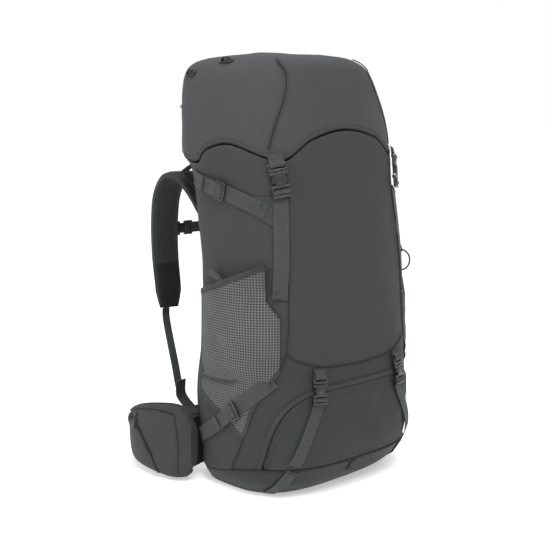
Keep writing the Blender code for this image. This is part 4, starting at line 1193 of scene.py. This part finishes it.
def build_straps():
    for side, word in SIDES:
        # Lid buckle, its webbing, and the front strap through the ladder
        frame_ = skin_frame(52.5, 0.739, side)
        lift = 0.0067
        placed("plug_wide", f"lid_plug_{word}", frame_, lift, "lid", (f"lid_buckle_plug_{word}",))
        placed("socket_wide", f"lid_socket_{word}", frame_, lift, f"lid_socket_{word}",
               (f"lid_buckle_socket_{word}",))
        plug_webbing(f"lid_webbing_{word}", frame_, lift, WIDE, "lid", 0.029)
        threaded = in_frame(frame_, [
            (-0.0215, 0.0032), (-0.0255, 0.0034), (-0.0290, 0.0062), (-0.0315, 0.0098), (-0.0340, 0.0103),
            (-0.0358, 0.0092), (-0.0372, 0.0064), (-0.0392, 0.0040),
        ])
        band(f"threaded_webbing_{word}", smooth_line(threaded), frame_[3], WIDE, STRAP, WEBBING,
             f"lid_socket_{word}", across=frame_[1])
        line, out = strap_points(((52.7, 0.682), (55.0, 0.580), (57.5, 0.463)), side, 0.0019)
        band(f"front_webbing_{word}", line, out, WIDE, STRAP, WEBBING, "pack",
             (f"front_strap_{word}",))
        end = on_skin(side * 57.3, 0.472 * HEIGHT, np.array(0.0030))
        normal = outward(side * 57.3, 0.472 * HEIGHT)
        bar_tack("pack", end, unit(frame_[1]), frame_[2], normal, WIDE - 0.003, 2, 0.009)

        # Compartment buckle and the strap below it
        frame_ = skin_frame(36.5, 0.272, side)
        placed("plug_slim", f"lower_plug_{word}", frame_, lift, "pack", (f"compartment_buckle_plug_{word}",))
        placed("socket_slim", f"lower_socket_{word}", frame_, lift, f"lower_socket_{word}",
               (f"compartment_buckle_socket_{word}",))
        plug_webbing(f"lower_webbing_{word}", frame_, lift, SLIM, "pack", 0.024)
        top = in_frame(frame_, [
            (-0.0175, 0.0024), (-0.0205, 0.0026), (-0.0232, 0.0060), (-0.0255, 0.0098), (-0.0270, 0.0101),
            (-0.0285, 0.0090), (-0.0297, 0.0060), (-0.0308, 0.0030), (-0.0350, 0.0020),
        ])
        rest, rest_out = strap_points(((38.0, 0.205), (44.0, 0.150), (50.0, 0.0925)), side, 0.0019)
        line = even(np.concatenate([smooth_line(top), rest]), 0.0025)
        share = np.linspace(0, 1, len(line))[:, None]
        out = unit(frame_[3] * (1 - share) + rest_out[-1] * share)
        band(f"lower_strap_{word}", line, out, SLIM, STRAP, WEBBING, "compartment_flap",
             (f"compartment_strap_{word}",))
        stations = ((50.5, 0.0770), (54.5, 0.045), (58.0, 0.022), (60.0, 0.006))
        line, out = strap_points(stations, side, 0.0016)
        band(f"base_strap_{word}", line, out, SLIM, STRAP, WEBBING, "pack")
        bar_tack("pack", line[4] + out[4] * 0.0010, unit(np.cross(out[4], line[6] - line[2])),
                 unit(line[6] - line[2]), out[4], SLIM - 0.003)

        # Compression straps, each with a ladder-lock and a loose folded end
        for level, stations, where, seed in (
            ("upper", ((111.0, 0.716), (98.0, 0.702), (86.0, 0.693), (72.0, 0.674), (60.5, 0.654)), 0.50, 1),
            ("lower", ((114.0, 0.118), (98.0, 0.158), (83.5, 0.201), (70.0, 0.248), (60.0, 0.286)), 0.52, 2),
        ):
            line, out = strap_points(stations, side, 0.00195)
            band(f"{level}_compression_{word}", line, out, WIDE, STRAP, WEBBING, "pack",
                 (f"{level}_compression_strap_{word}",))
            middle = int(where * 89)
            up = unit(line[min(middle + 9, 89)] - line[middle - 9])
            normal = out[middle]
            right = unit(np.cross(up, normal))
            base = line[middle] - normal * 0.00195
            lock = (base, right, up, unit(np.cross(right, up)))
            placed("lock_wide", f"{level}_lock_{word}", lock, 0.0057, "pack",
                   (f"{level}_compression_ladderlock_{word}",))
            tail = in_frame(lock, [
                (0.0085, 0.0034), (0.0050, 0.0046), (0.0025, 0.0080), (0.0, 0.0092), (-0.0030, 0.0080),
                (-0.0055, 0.0070), (-0.0090, 0.0082), (-0.0140, 0.0080), (-0.0240, 0.0062), (-0.0360, 0.0058),
                (-0.0440, 0.0068), (-0.0455, 0.0090), (-0.0430, 0.0100), (-0.0390, 0.0092),
            ])
            band(f"{level}_strap_end_{word}", smooth_line(tail), lock[3], WIDE - 0.002, STRAP, WEBBING,
                 "pack", across=right)
            for k in (3, 84):
                bar_tack("pack", line[k] + out[k] * 0.0010, right, up, out[k], WIDE - 0.004, 2)
            # The cloth wedge that spreads each strap's pull into the side seam
            turns, shares = ((60.5, 56.0), (0.654, 0.640)) if level == "upper" else ((61.5, 58.5), (0.283, 0.292))
            spread = 0.052 if level == "upper" else 0.030
            grid_u, grid_v = np.meshgrid(np.linspace(0, 1, 14), np.linspace(0, 1, 14))
            start, finish_ = stations[3], (side_seam(np.array((stations[4][1]) * HEIGHT)) + 0.4, stations[4][1])
            turn = side * ((start[0] + 1) * (1 - grid_u) + float(finish_[0]) * grid_u)
            centre = start[1] * (1 - grid_u) + finish_[1] * grid_u
            wide = 0.017 * (1 - grid_u) + spread * grid_u
            height = (centre + (grid_v - (0.62 if level == "upper" else 0.55)) * wide * 1.6) * HEIGHT
            turn = np.clip(np.abs(turn), side_seam(height) + 0.5, 120) * side
            sheet_between(f"{level}_wedge_{word}", on_skin(turn, height, np.full(turn.shape, 0.0011)),
                          on_skin(turn, height, np.full(turn.shape, 0.0003)), SHELL, "pack")

        # Tool loops on the side seam, and lash loops on the lid's corners
        height, reach = 0.505 * HEIGHT, 0.018
        points = []
        for a in np.radians(np.linspace(0, 180, 40)):
            points.append(on_skin(side * 61.7, height + reach * math.cos(a), np.array(0.0020 + 0.016 * math.sin(a))))
        points = np.array(points)
        loop = cord_tube(f"tool_cord_{word}", points, 0.0015, CORD, "pack", (f"tool_loop_{word}",))
        for turn, share, seed in ((84.0, 0.976, 1), (113.0, 0.950, 2)):
            centre, normal = on_skin(side * turn, share * HEIGHT, np.array(0.0012)), outward(side * turn, share * HEIGHT)
            along = unit(np.cross(normal, (0, 0, 1)))
            arc = [centre + along * 0.009 * math.cos(a) + normal * 0.006 * math.sin(a) for a in np.linspace(0, np.pi, 24)]
            band(f"lash_loop_{word}_{seed}", arc, np.array([normal * math.sin(a) + along * math.cos(a) for a in np.linspace(0, np.pi, 24)]),
                 0.006, 0.0014, CORD, "lid", across=unit(np.cross(normal, along)))
            patch_line = [centre + along * x - normal * 0.0002 for x in np.linspace(-0.014, 0.014, 12)]
            band(f"lash_patch_{word}_{seed}", patch_line, normal, 0.012, 0.0012, BINDING, "lid")

    # Haul loop at the top of the back
    level = 0.732 * HEIGHT
    start = back_y(0, level + 0.010) + 0.007
    angles = np.linspace(0, np.pi, 48)
    arc = np.array([(0.030 * math.cos(a), start + 0.024 * math.sin(a), level) for a in angles])
    out = np.array([(math.cos(a), math.sin(a) * 0.8, 0) for a in angles])
    band("haul_webbing", arc, out, 0.015, STRAP, WEBBING, "pack", ("haul_loop",), across=(0, 0, 1))
    for share, name in ((0.160, "upper"), (0.106, "lower")):
        turn, height = -(ARCH_TURN + 6), share * HEIGHT
        top, lower = on_skin(turn, height, np.array(0.007)), on_skin(turn, height - 0.030, np.array(0.007))
        up, normal = unit(top - lower), outward(turn, height)
        right = unit(np.cross(up, normal))
        placed("pull", f"flap_pull_{name}", (top, right, up, unit(np.cross(right, up))), 0,
               f"flap_pull_{name}", (f"compartment_zip_pull_{name}",), BLACK_ACETAL)
    height = 0.870 * HEIGHT
    top = np.array((0, back_y(0, height) + 0.007, height))
    placed("pull", "lid_pull_tab", (top, (-1, 0, 0), (0, 0, 1), (0, 1, 0)), 0, "lid_pull",
           ("lid_zip_pull",), BLACK_ACETAL)
    centre, out = on_skin(7.0, 0.062 * HEIGHT, np.array(0.0010)), outward(7.0, 0.062 * HEIGHT)
    line, out = skin_line(np.array([6.0, 6.2]), np.array([0.073, 0.045]) * HEIGHT, 0.0012, 0.002)
    band("side_tag", line, out, 0.010, 0.0010, TAG, "pack")


# ---------------------------------------------------------------- harness and belt


def cushion(name, centres, facing, half_widths, fronts, backs, finish, body, replaces=(), square=4,
            corners=40, swell=None):
    """A padded strip: rounded sections across a line, closed at both ends."""
    centres = np.asarray(centres)
    ahead = unit(np.gradient(centres, axis=0))
    side = unit(np.cross(facing, ahead))
    face = unit(np.cross(ahead, side))
    angle = 2 * np.pi * (np.arange(corners) + 0.5) / corners
    c, s = np.cos(angle), np.sin(angle)
    r = (np.abs(c) ** square + np.abs(s) ** square) ** (-1 / square)
    thick = np.where(s > 0, fronts[:, None], backs[:, None])
    rings = (
        centres[:, None] + side[:, None] * (half_widths[:, None] * (r * c)[None])[..., None]
        + face[:, None] * (thick * (r * s)[None])[..., None]
    )
    if swell is not None:
        push = swell(rings)
        rings = rings + (face[:, None] * np.sign(s)[None, :, None]) * push[..., None]
    made = ring_mesh(name, rings, finish, body, replaces, poles=(rings[0].mean(0), rings[-1].mean(0)),
                     spin=half_widths.mean() * 0.64)
    return made, rings, side, face


def resample(values, count):
    return np.interp(np.linspace(0, 1, count), np.linspace(0, 1, len(values)), values)


def shoulder_line(side, count=20):
    base = back_y(0, 0.60 * HEIGHT)
    route = (
        (-0.060, 0.026, 0.592), (-0.072, 0.040, 0.650), (-0.086, 0.063, 0.695), (-0.096, 0.092, 0.703),
        (-0.102, 0.112, 0.660), (-0.103, 0.120, 0.590), (-0.105, 0.117, 0.505), (-0.106, 0.109, 0.430),
        (-0.108, 0.104, 0.376),
    )
    return eased([(side * x, base + y, share * HEIGHT) for x, y, share in route], count)


def build_harness():
    thick = 0.014
    for side, word in SIDES:
        line = shoulder_line(side, 100)
        ahead = unit(np.gradient(line, axis=0))
        facing = np.cross((1.0, 0, 0), ahead)
        i = np.arange(21)
        ends = np.minimum(1, 0.76 + 0.12 * np.minimum(i, 20 - i))
        half = resample(0.031 * (1 - 0.18 * i / 20) * ends, 101)
        puff = resample(np.minimum(1, 0.55 + 0.25 * np.minimum(i, 20 - i)) * thick / 2, 101)
        made, rings, across, face = cushion(
            f"shoulder_pad_{word}", line, facing, half, puff, puff, SPACER, "harness",
            (f"shoulder_strap_{word}",), square=3.2,
        )
        out_face = face if (face[50] @ np.array((0, 1.0, 0))) > 0 else -face
        band(f"shoulder_cover_{word}", (line + out_face * (puff[:, None] - 0.0002))[4:-4],
             out_face[4:-4], half[4:-4] * 1.25, 0.0016, BELT_CLOTH, "harness")
        cushion(f"shoulder_end_{word}", line[78:], facing[78:], half[78:] + 0.0008, puff[78:] + 0.0008,
                puff[78:] + 0.0008, PIPING_AND_GAP_SHADE, "harness", square=3.2)
        for way in (1, -1):
            edge = line + across * (half - 0.0004)[:, None] * way
            band(f"shoulder_binding_{word}_{way + 1}", edge[2:-2], across[2:-2] * way, puff[2:-2] * 1.1, 0.0020,
                 BINDING, "harness")
        foot = shoulder_line(side)[-1]
        lock = (foot + [0, thick / 2 + 0.0005, 0.016], np.array((1.0, 0, 0)), unit(np.array((0, 0.13, 1))),
                unit(np.array((0, 1, -0.13))))
        placed("lock_slim", f"shoulder_lock_{word}", lock, 0.0042, "harness", (f"shoulder_ladderlock_{word}",))
        tape_line = smooth_line(in_frame(lock, [(0.034, 0.0006), (0.018, 0.0012), (0.0125, 0.0040), (0.0110, 0.0070),
                                                (0.0085, 0.0066), (0.0075, 0.0036), (0.012, 0.0014), (0.030, 0.0022)]))
        band(f"shoulder_tab_{word}", tape_line, lock[3], SLIM - 0.001, STRAP, WEBBING, "harness",
             across=lock[1])
        anchor = on_skin(side * 127.0, 0.150 * HEIGHT, np.array(0.004))
        turn_in = anchor + [side * -0.001, 0.040, 0.022]
        begin = foot + [0, thick / 2 + 0.003, -0.002]
        route = [tuple(begin), tuple(begin + [side * -0.004, -0.007, -0.024]),
                 tuple(begin * 0.4 + turn_in * 0.6 + [0, 0.004, 0]), tuple(turn_in), tuple(anchor)]
        line = even(eased(route, 80), 0.004)
        made = band(f"shoulder_strap_end_{word}", line, (0, 1, 0), SLIM, STRAP, WEBBING, None,
                    (f"shoulder_webbing_{word}",), across=(1, 0.25 * side, 0))
        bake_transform(made)
        folded = even(eased([tuple(turn_in + [0, 0.0035, 0.030]), tuple(turn_in + [0, 0.0035, 0.004]),
                             tuple(anchor + (turn_in - anchor) * 0.45 + [0, 0.003, -0.001]), tuple(anchor + [0, 0.0035, 0])], 40), 0.003)
        band(f"webbing_anchor_{word}", folded, (0, 1, 0), 0.026, 0.0022, FLAP_CLOTH, "pack",
             across=(1, 0.25 * side, 0))
        line = shoulder_line(side)
        top = line[6] + [0, 0, thick / 2 + 0.003]
        hold = np.array((side * -0.100, back_y(0.090, 0.750 * HEIGHT) + 0.007, 0.740 * HEIGHT))
        route = even(eased([tuple(top), tuple((top + hold) / 2 + [0, 0, 0.001]), tuple(hold)], 30), 0.003)
        made = band(f"load_lifter_strap_{word}", route, (0, 0, 1), SLIM * 0.8, STRAP, WEBBING, None,
                    (f"load_lifter_{word}",), across=(1, 0, 0))
        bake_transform(made)
    for name, turns, shares, lifts, quilt, finish, body, replaced, slot in (
        ("yoke_pad", (151, 209), (0.515, 0.585), (0.0065, 0.0145), 0.0, SPACER, "harness", "yoke", "padding"),
        ("lumbar_cushion", (134, 226), (0.040, 0.178), (0.001, 0.016), 1.0, SPACER, "pack", "lumbar_pad", "padding"),
        ("back_pad", (146, 214), (0.185, 0.455), (0.001, 0.008), 1.0, SPACER, "pack", "back_mesh", "mesh"),
    ):
        u, v = np.meshgrid(np.linspace(0, 1, 80), np.linspace(0, 1, 60))
        turn = turns[0] * (1 - u) + turns[1] * u
        height = (shares[0] * (1 - v) + shares[1] * v) * HEIGHT
        round_off = rim_fall(u, v, 0.13) ** 0.6
        channels = 1 - 0.45 * quilt * np.exp(-((((u * 3) % 1) - 0.5) ** 2) / 0.002)
        outer = lifts[0] + 0.0008 + (lifts[1] - lifts[0] - 0.0008) * round_off * (0.55 + 0.45 * channels)
        made = sheet_between(name, on_skin(turn, height, outer), on_skin(turn, height, lifts[0] + 0 * turn),
                             finish, body, (replaced,))
    build_sternum()


def build_sternum():
    line = shoulder_line(LEFT)
    height = 0.565 * HEIGHT
    near = min(line[10:], key=lambda p: abs(p[2] - height))
    depth, meet, ends = near[1] + 0.011, 0.042, 0.104
    at = (np.array((-meet, depth + 0.002, height)), np.array((0, 0, 1.0)), np.array((1.0, 0, 0)), np.array((0, 1.0, 0)))
    placed("plug_slim", "sternum_plug_half", at, 0, "sternum_clip", ("sternum_plug",))
    placed("socket_plain", "sternum_socket_half", at, 0, "sternum_strap", ("sternum_socket",))
    plug_webbing("sternum_loop", at, 0.0, SLIM, "sternum_clip", 0.040)
    strip = in_frame(at, [(y, 0.0 + 0.0006 * math.sin(y * 60)) for y in np.linspace(0.028, meet + ends - 0.002, 40)])
    band("sternum_webbing", strip, (0, 1, 0), SLIM - 0.001, STRAP, WEBBING, "sternum_clip", across=(0, 0, 1))
    strip = in_frame(at, [(y, 0.0) for y in np.linspace(-0.0190, meet - ends + 0.002, 20)])
    band("sternum_anchor", strip, (0, 1, 0), SLIM - 0.001, STRAP, WEBBING, "sternum_strap", across=(0, 0, 1))


def wing_line(side, count=14):
    route = (
        (-0.187, 0.030, 0.069), (-0.194, 0.055, 0.069), (-0.201, 0.090, 0.068), (-0.204, 0.127, 0.066),
        (-0.197, 0.168, 0.061), (-0.177, 0.208, 0.053), (-0.142, 0.243, 0.045),
    )
    return eased([(side * x, y, z) for x, y, z in route], count)


def build_belt():
    for side, word in SIDES:
        count = 84
        line = wing_line(side, count)
        ahead = unit(np.gradient(line, axis=0))
        facing = -np.cross((0, 0, float(side)), ahead)
        i = np.arange(15)
        root = np.ones(15)
        root[:4] = (0.55, 0.80, 0.93, 0.98)
        half = resample(0.066 * (1 - 0.52 * (i / 14) ** 2) * root, count + 1)
        ends = np.minimum(1, 0.55 + 0.25 * np.minimum(i, 14 - i))
        swell = np.sin(np.pi * np.minimum(1, np.maximum(0, (i / 14 + 0.06) / 0.88))) ** 0.6
        inside = resample(0.008 * ends + 0.0228 * swell, count + 1)
        outside = resample(0.008 * ends + 0.0152 * swell, count + 1)
        crease = lambda rings: -0.0016 * np.clip(0.5 + 0.5 * ripple(rings, 0.05, 60 + side), 0, 1)
        made, rings, across, face = cushion(
            f"belt_wing_{word}", line, facing, half, inside, outside, BELT_CLOTH, f"belt_{word}",
            (f"hip_wing_{word}",), square=2.7, corners=72, swell=crease,
        )
        body = f"belt_{word}"
        # The pocket on the wing: its zip, the seams round it, and the piping of the pad behind
        def on_wing(row, level, lift=0.0):
            row, level = np.asarray(row, float), np.asarray(level, float) * np.sign(across[45, 2])
            at = lambda v: np.stack([np.interp(row, np.arange(count + 1), v[:, k]) for k in range(3)], -1)
            bow = (1 - np.abs(level) ** 2.7) ** (1 / 2.7)
            high, deep = np.interp(row, np.arange(count + 1), half), np.interp(row, np.arange(count + 1), outside)
            return at(line) + at(across) * (high * level)[:, None] - at(face) * (deep * bow + lift)[:, None]

        t = np.linspace(0, 1, 80)
        for name, rows, levels, radius, finish in (
            ("zip", (74, 66, 56, 46, 38, 33), (0.05, 0.50, 0.62, 0.42, -0.02, -0.40), 0.0018, PIPING_AND_GAP_SHADE),
            ("zip_lip", (72, 65, 56, 48, 41, 36), (0.20, 0.62, 0.74, 0.55, 0.10, -0.34), 0.0012, BINDING),
            ("gusset", (33, 32, 31, 31), (-0.40, -0.62, -0.80, -0.95), 0.0009, PIPING_AND_GAP_SHADE),
            ("pocket_top", (68, 50, 32, 16), (0.86, 0.90, 0.90, 0.84), 0.0009, PIPING_AND_GAP_SHADE),
            ("pocket_end", (15, 12, 11, 13), (0.84, 0.40, -0.20, -0.86), 0.0011, BINDING),
        ):
            knots = np.linspace(0, 1, len(rows))
            row = curve(tuple(zip(knots, rows)))(t)
            track = even(on_wing(row, np.clip(curve(tuple(zip(knots, levels)))(t), -0.98, 0.98), 0.0004), 0.003)
            cord_tube(f"belt_{name}_{word}", track, radius, finish, body, corners=8)
            if name in ("zip", "gusset"):
                stitch(body, track - face[45] * 0.0012 - (0, 0, 0.0036), -face[45])
        for way in (1, -1):
            rim = line + across * (half * 0.985)[:, None] * way + face * (inside * 0.25)[:, None]
            cord_tube(f"belt_piping_{word}_{way + 1}", rim[4:-3], 0.0026, BINDING, body, corners=8)
        # A near-black sheet across the gap between the wing's root and the bag: painted shade in the gap
        near, far = on_skin(side * 127.0, 0.03, np.array(0.002)), line[9] + face[9] * 0.004
        rows = []
        for z in np.linspace(0.022, 0.108, 24):
            first = on_skin(side * 126.0, z, np.array(0.001))
            last = np.array((line[9][0], line[9][1], z)) + face[9] * 0.006
            rows.append([first * (1 - u) + last * u for u in np.linspace(0, 1, 12)])
        rows = np.array(rows)
        made = sheet_between(f"belt_gap_shade_sheet_{word}", rows, rows - np.array((0, 0.002, 0)), PIPING_AND_GAP_SHADE, None)
        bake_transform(made)
        # Zip pull hanging on the pocket
        old = wing_line(side)
        way = old[9] - old[7]
        way[2] = 0
        way = unit(way)
        out = np.cross((0, 0, float(side)), way)
        thick = 0.008 + 0.0152 * math.sin(math.pi * min(1, (8 / 14 + 0.06) / 0.88)) ** 0.6
        surface = lambda z: old[8] + out * (thick * (1 - (z / (0.066 * 0.83)) ** 2.7) ** 0.37) + [0, 0, z]
        top, low = surface(0.044), surface(0.017)
        rise = unit(top - low)
        normal = np.cross(rise, way) * side
        top = top + normal * 0.0035
        placed("pull", f"belt_pull_{word}", (top, -side * way, rise, normal), 0, f"hip_pull_{word}",
               (f"hip_zip_pull_{word}",), BLACK_ACETAL)
    tips = {s: wing_line(s)[-1] for s, _ in SIDES}
    leave = {s: unit(wing_line(s)[-1] - wing_line(s)[-2]) for s in tips}
    depth, height, flat = tips[LEFT][1] + 0.030, tips[LEFT][2] - 0.012, 0.072
    route = []
    for s in (LEFT, RIGHT):
        points = [tips[s] + leave[s] * 0.004, tips[s] + leave[s] * 0.024, (s * -flat, depth - 0.001, height),
                  (s * -0.036, depth, height), (0, depth, height)]
        points = eased([tuple(p) for p in points], 24)
        route += list(points) if s == LEFT else list(points[-2::-1])
    route = even(np.array(route), 0.003)
    at = (np.array((0.010, depth, height)), np.array((0, 0, 1.0)), np.array((1.0, 0, 0)), np.array((0, 1.0, 0)))
    placed("plug_wide", "belt_plug_half", at, 0, "belt_right", ("hip_belt_plug",))
    placed("socket_wide", "belt_socket_half", at, 0, "belt_left", ("hip_belt_socket",))
    plug_webbing("belt_loop", at, 0.0, WIDE, "belt_right", 0.040)
    right_part = route[route[:, 0] > 0.036]
    left_part = route[route[:, 0] < -0.030]
    band("belt_webbing_right", right_part, (0, 1, 0), WIDE - 0.001, 0.0018, WEBBING, "belt_right", across=(0, 0, 1))
    through = in_frame(at, [(-0.0215, -0.0030), (-0.0255, -0.0028), (-0.0290, 0.0002), (-0.0315, 0.0034), (-0.0340, 0.0037),
                            (-0.0358, 0.0028), (-0.0370, 0.0), (-0.0385, -0.0028)])
    left_line = np.concatenate([smooth_line(through), left_part[::-1]])
    band("belt_webbing_left", even(left_line, 0.0025), (0, 1, 0), WIDE - 0.001, 0.0018, WEBBING, "belt_left",
         across=(0, 0, 1))


# ---------------------------------------------------------------- studio


def build_studio():
    bpy.ops.object.select_all(action="DESELECT")
    bpy.ops.mesh.primitive_plane_add(size=40, location=(0, 0, 0))
    floor = bpy.context.object
    floor.name = "studio_floor"
    floor.data.materials.append(paper_floor())
    world = bpy.data.worlds.new("studio")
    bpy.context.scene.world = world
    world.use_nodes = True
    sky = Nodes(world.node_tree)
    background = world.node_tree.nodes["Background"]
    background.inputs[0].default_value = (1, 1, 1, 1)
    seen = sky.put("LightPath").outputs["Is Camera Ray"]
    world.node_tree.links.new(sky.ramp(seen, 0.0, 1.0, 0.69, 1.0), background.inputs[1])
    for name, at, size, power in (
        ("key", (-1.3, -1.9, 2.9), 1.6, 80), ("fill", (-2.6, 0.2, 1.4), 1.6, 20), ("top", (0.2, 0.3, 3.2), 1.4, 30),
    ):
        light = bpy.data.lights.new(name, "AREA")
        light.shape, light.size, light.energy = "DISK", size, power
        lamp = bpy.data.objects.new(name, light)
        bpy.context.scene.collection.objects.link(lamp)
        lamp.location = at
        lamp.rotation_euler = (Vector((0, 0, 0.36)) - Vector(at)).to_track_quat("-Z", "Y").to_euler()
    camera = bpy.data.cameras.new("camera")
    camera.lens, camera.sensor_width = 1139 / 550 * 36, 36
    camera.shift_x, camera.shift_y = -10 / 550, -9 / 550
    eye = bpy.data.objects.new("camera", camera)
    bpy.context.scene.collection.objects.link(eye)
    right, up, back = (0.71934, -0.69466, 0), (0.10867, 0.11253, 0.98769), (-0.68611, -0.71048, 0.15643)
    place = (-1.37221195, -1.42096707, 0.67286893)
    eye.matrix_world = Matrix([[right[k], up[k], back[k], place[k]] for k in range(3)] + [[0, 0, 0, 1]])
    bpy.context.scene.camera = eye
    bpy.context.scene.view_settings.view_transform = "Standard"


build_walls()
build_zip()
build_flap()
build_base()
build_lid()
build_inside()
build_pockets()
build_straps()
build_harness()
build_belt()
make_stitches()
for spare in PROTOTYPES.values():
    bpy.data.objects.remove(spare)
build_studio()
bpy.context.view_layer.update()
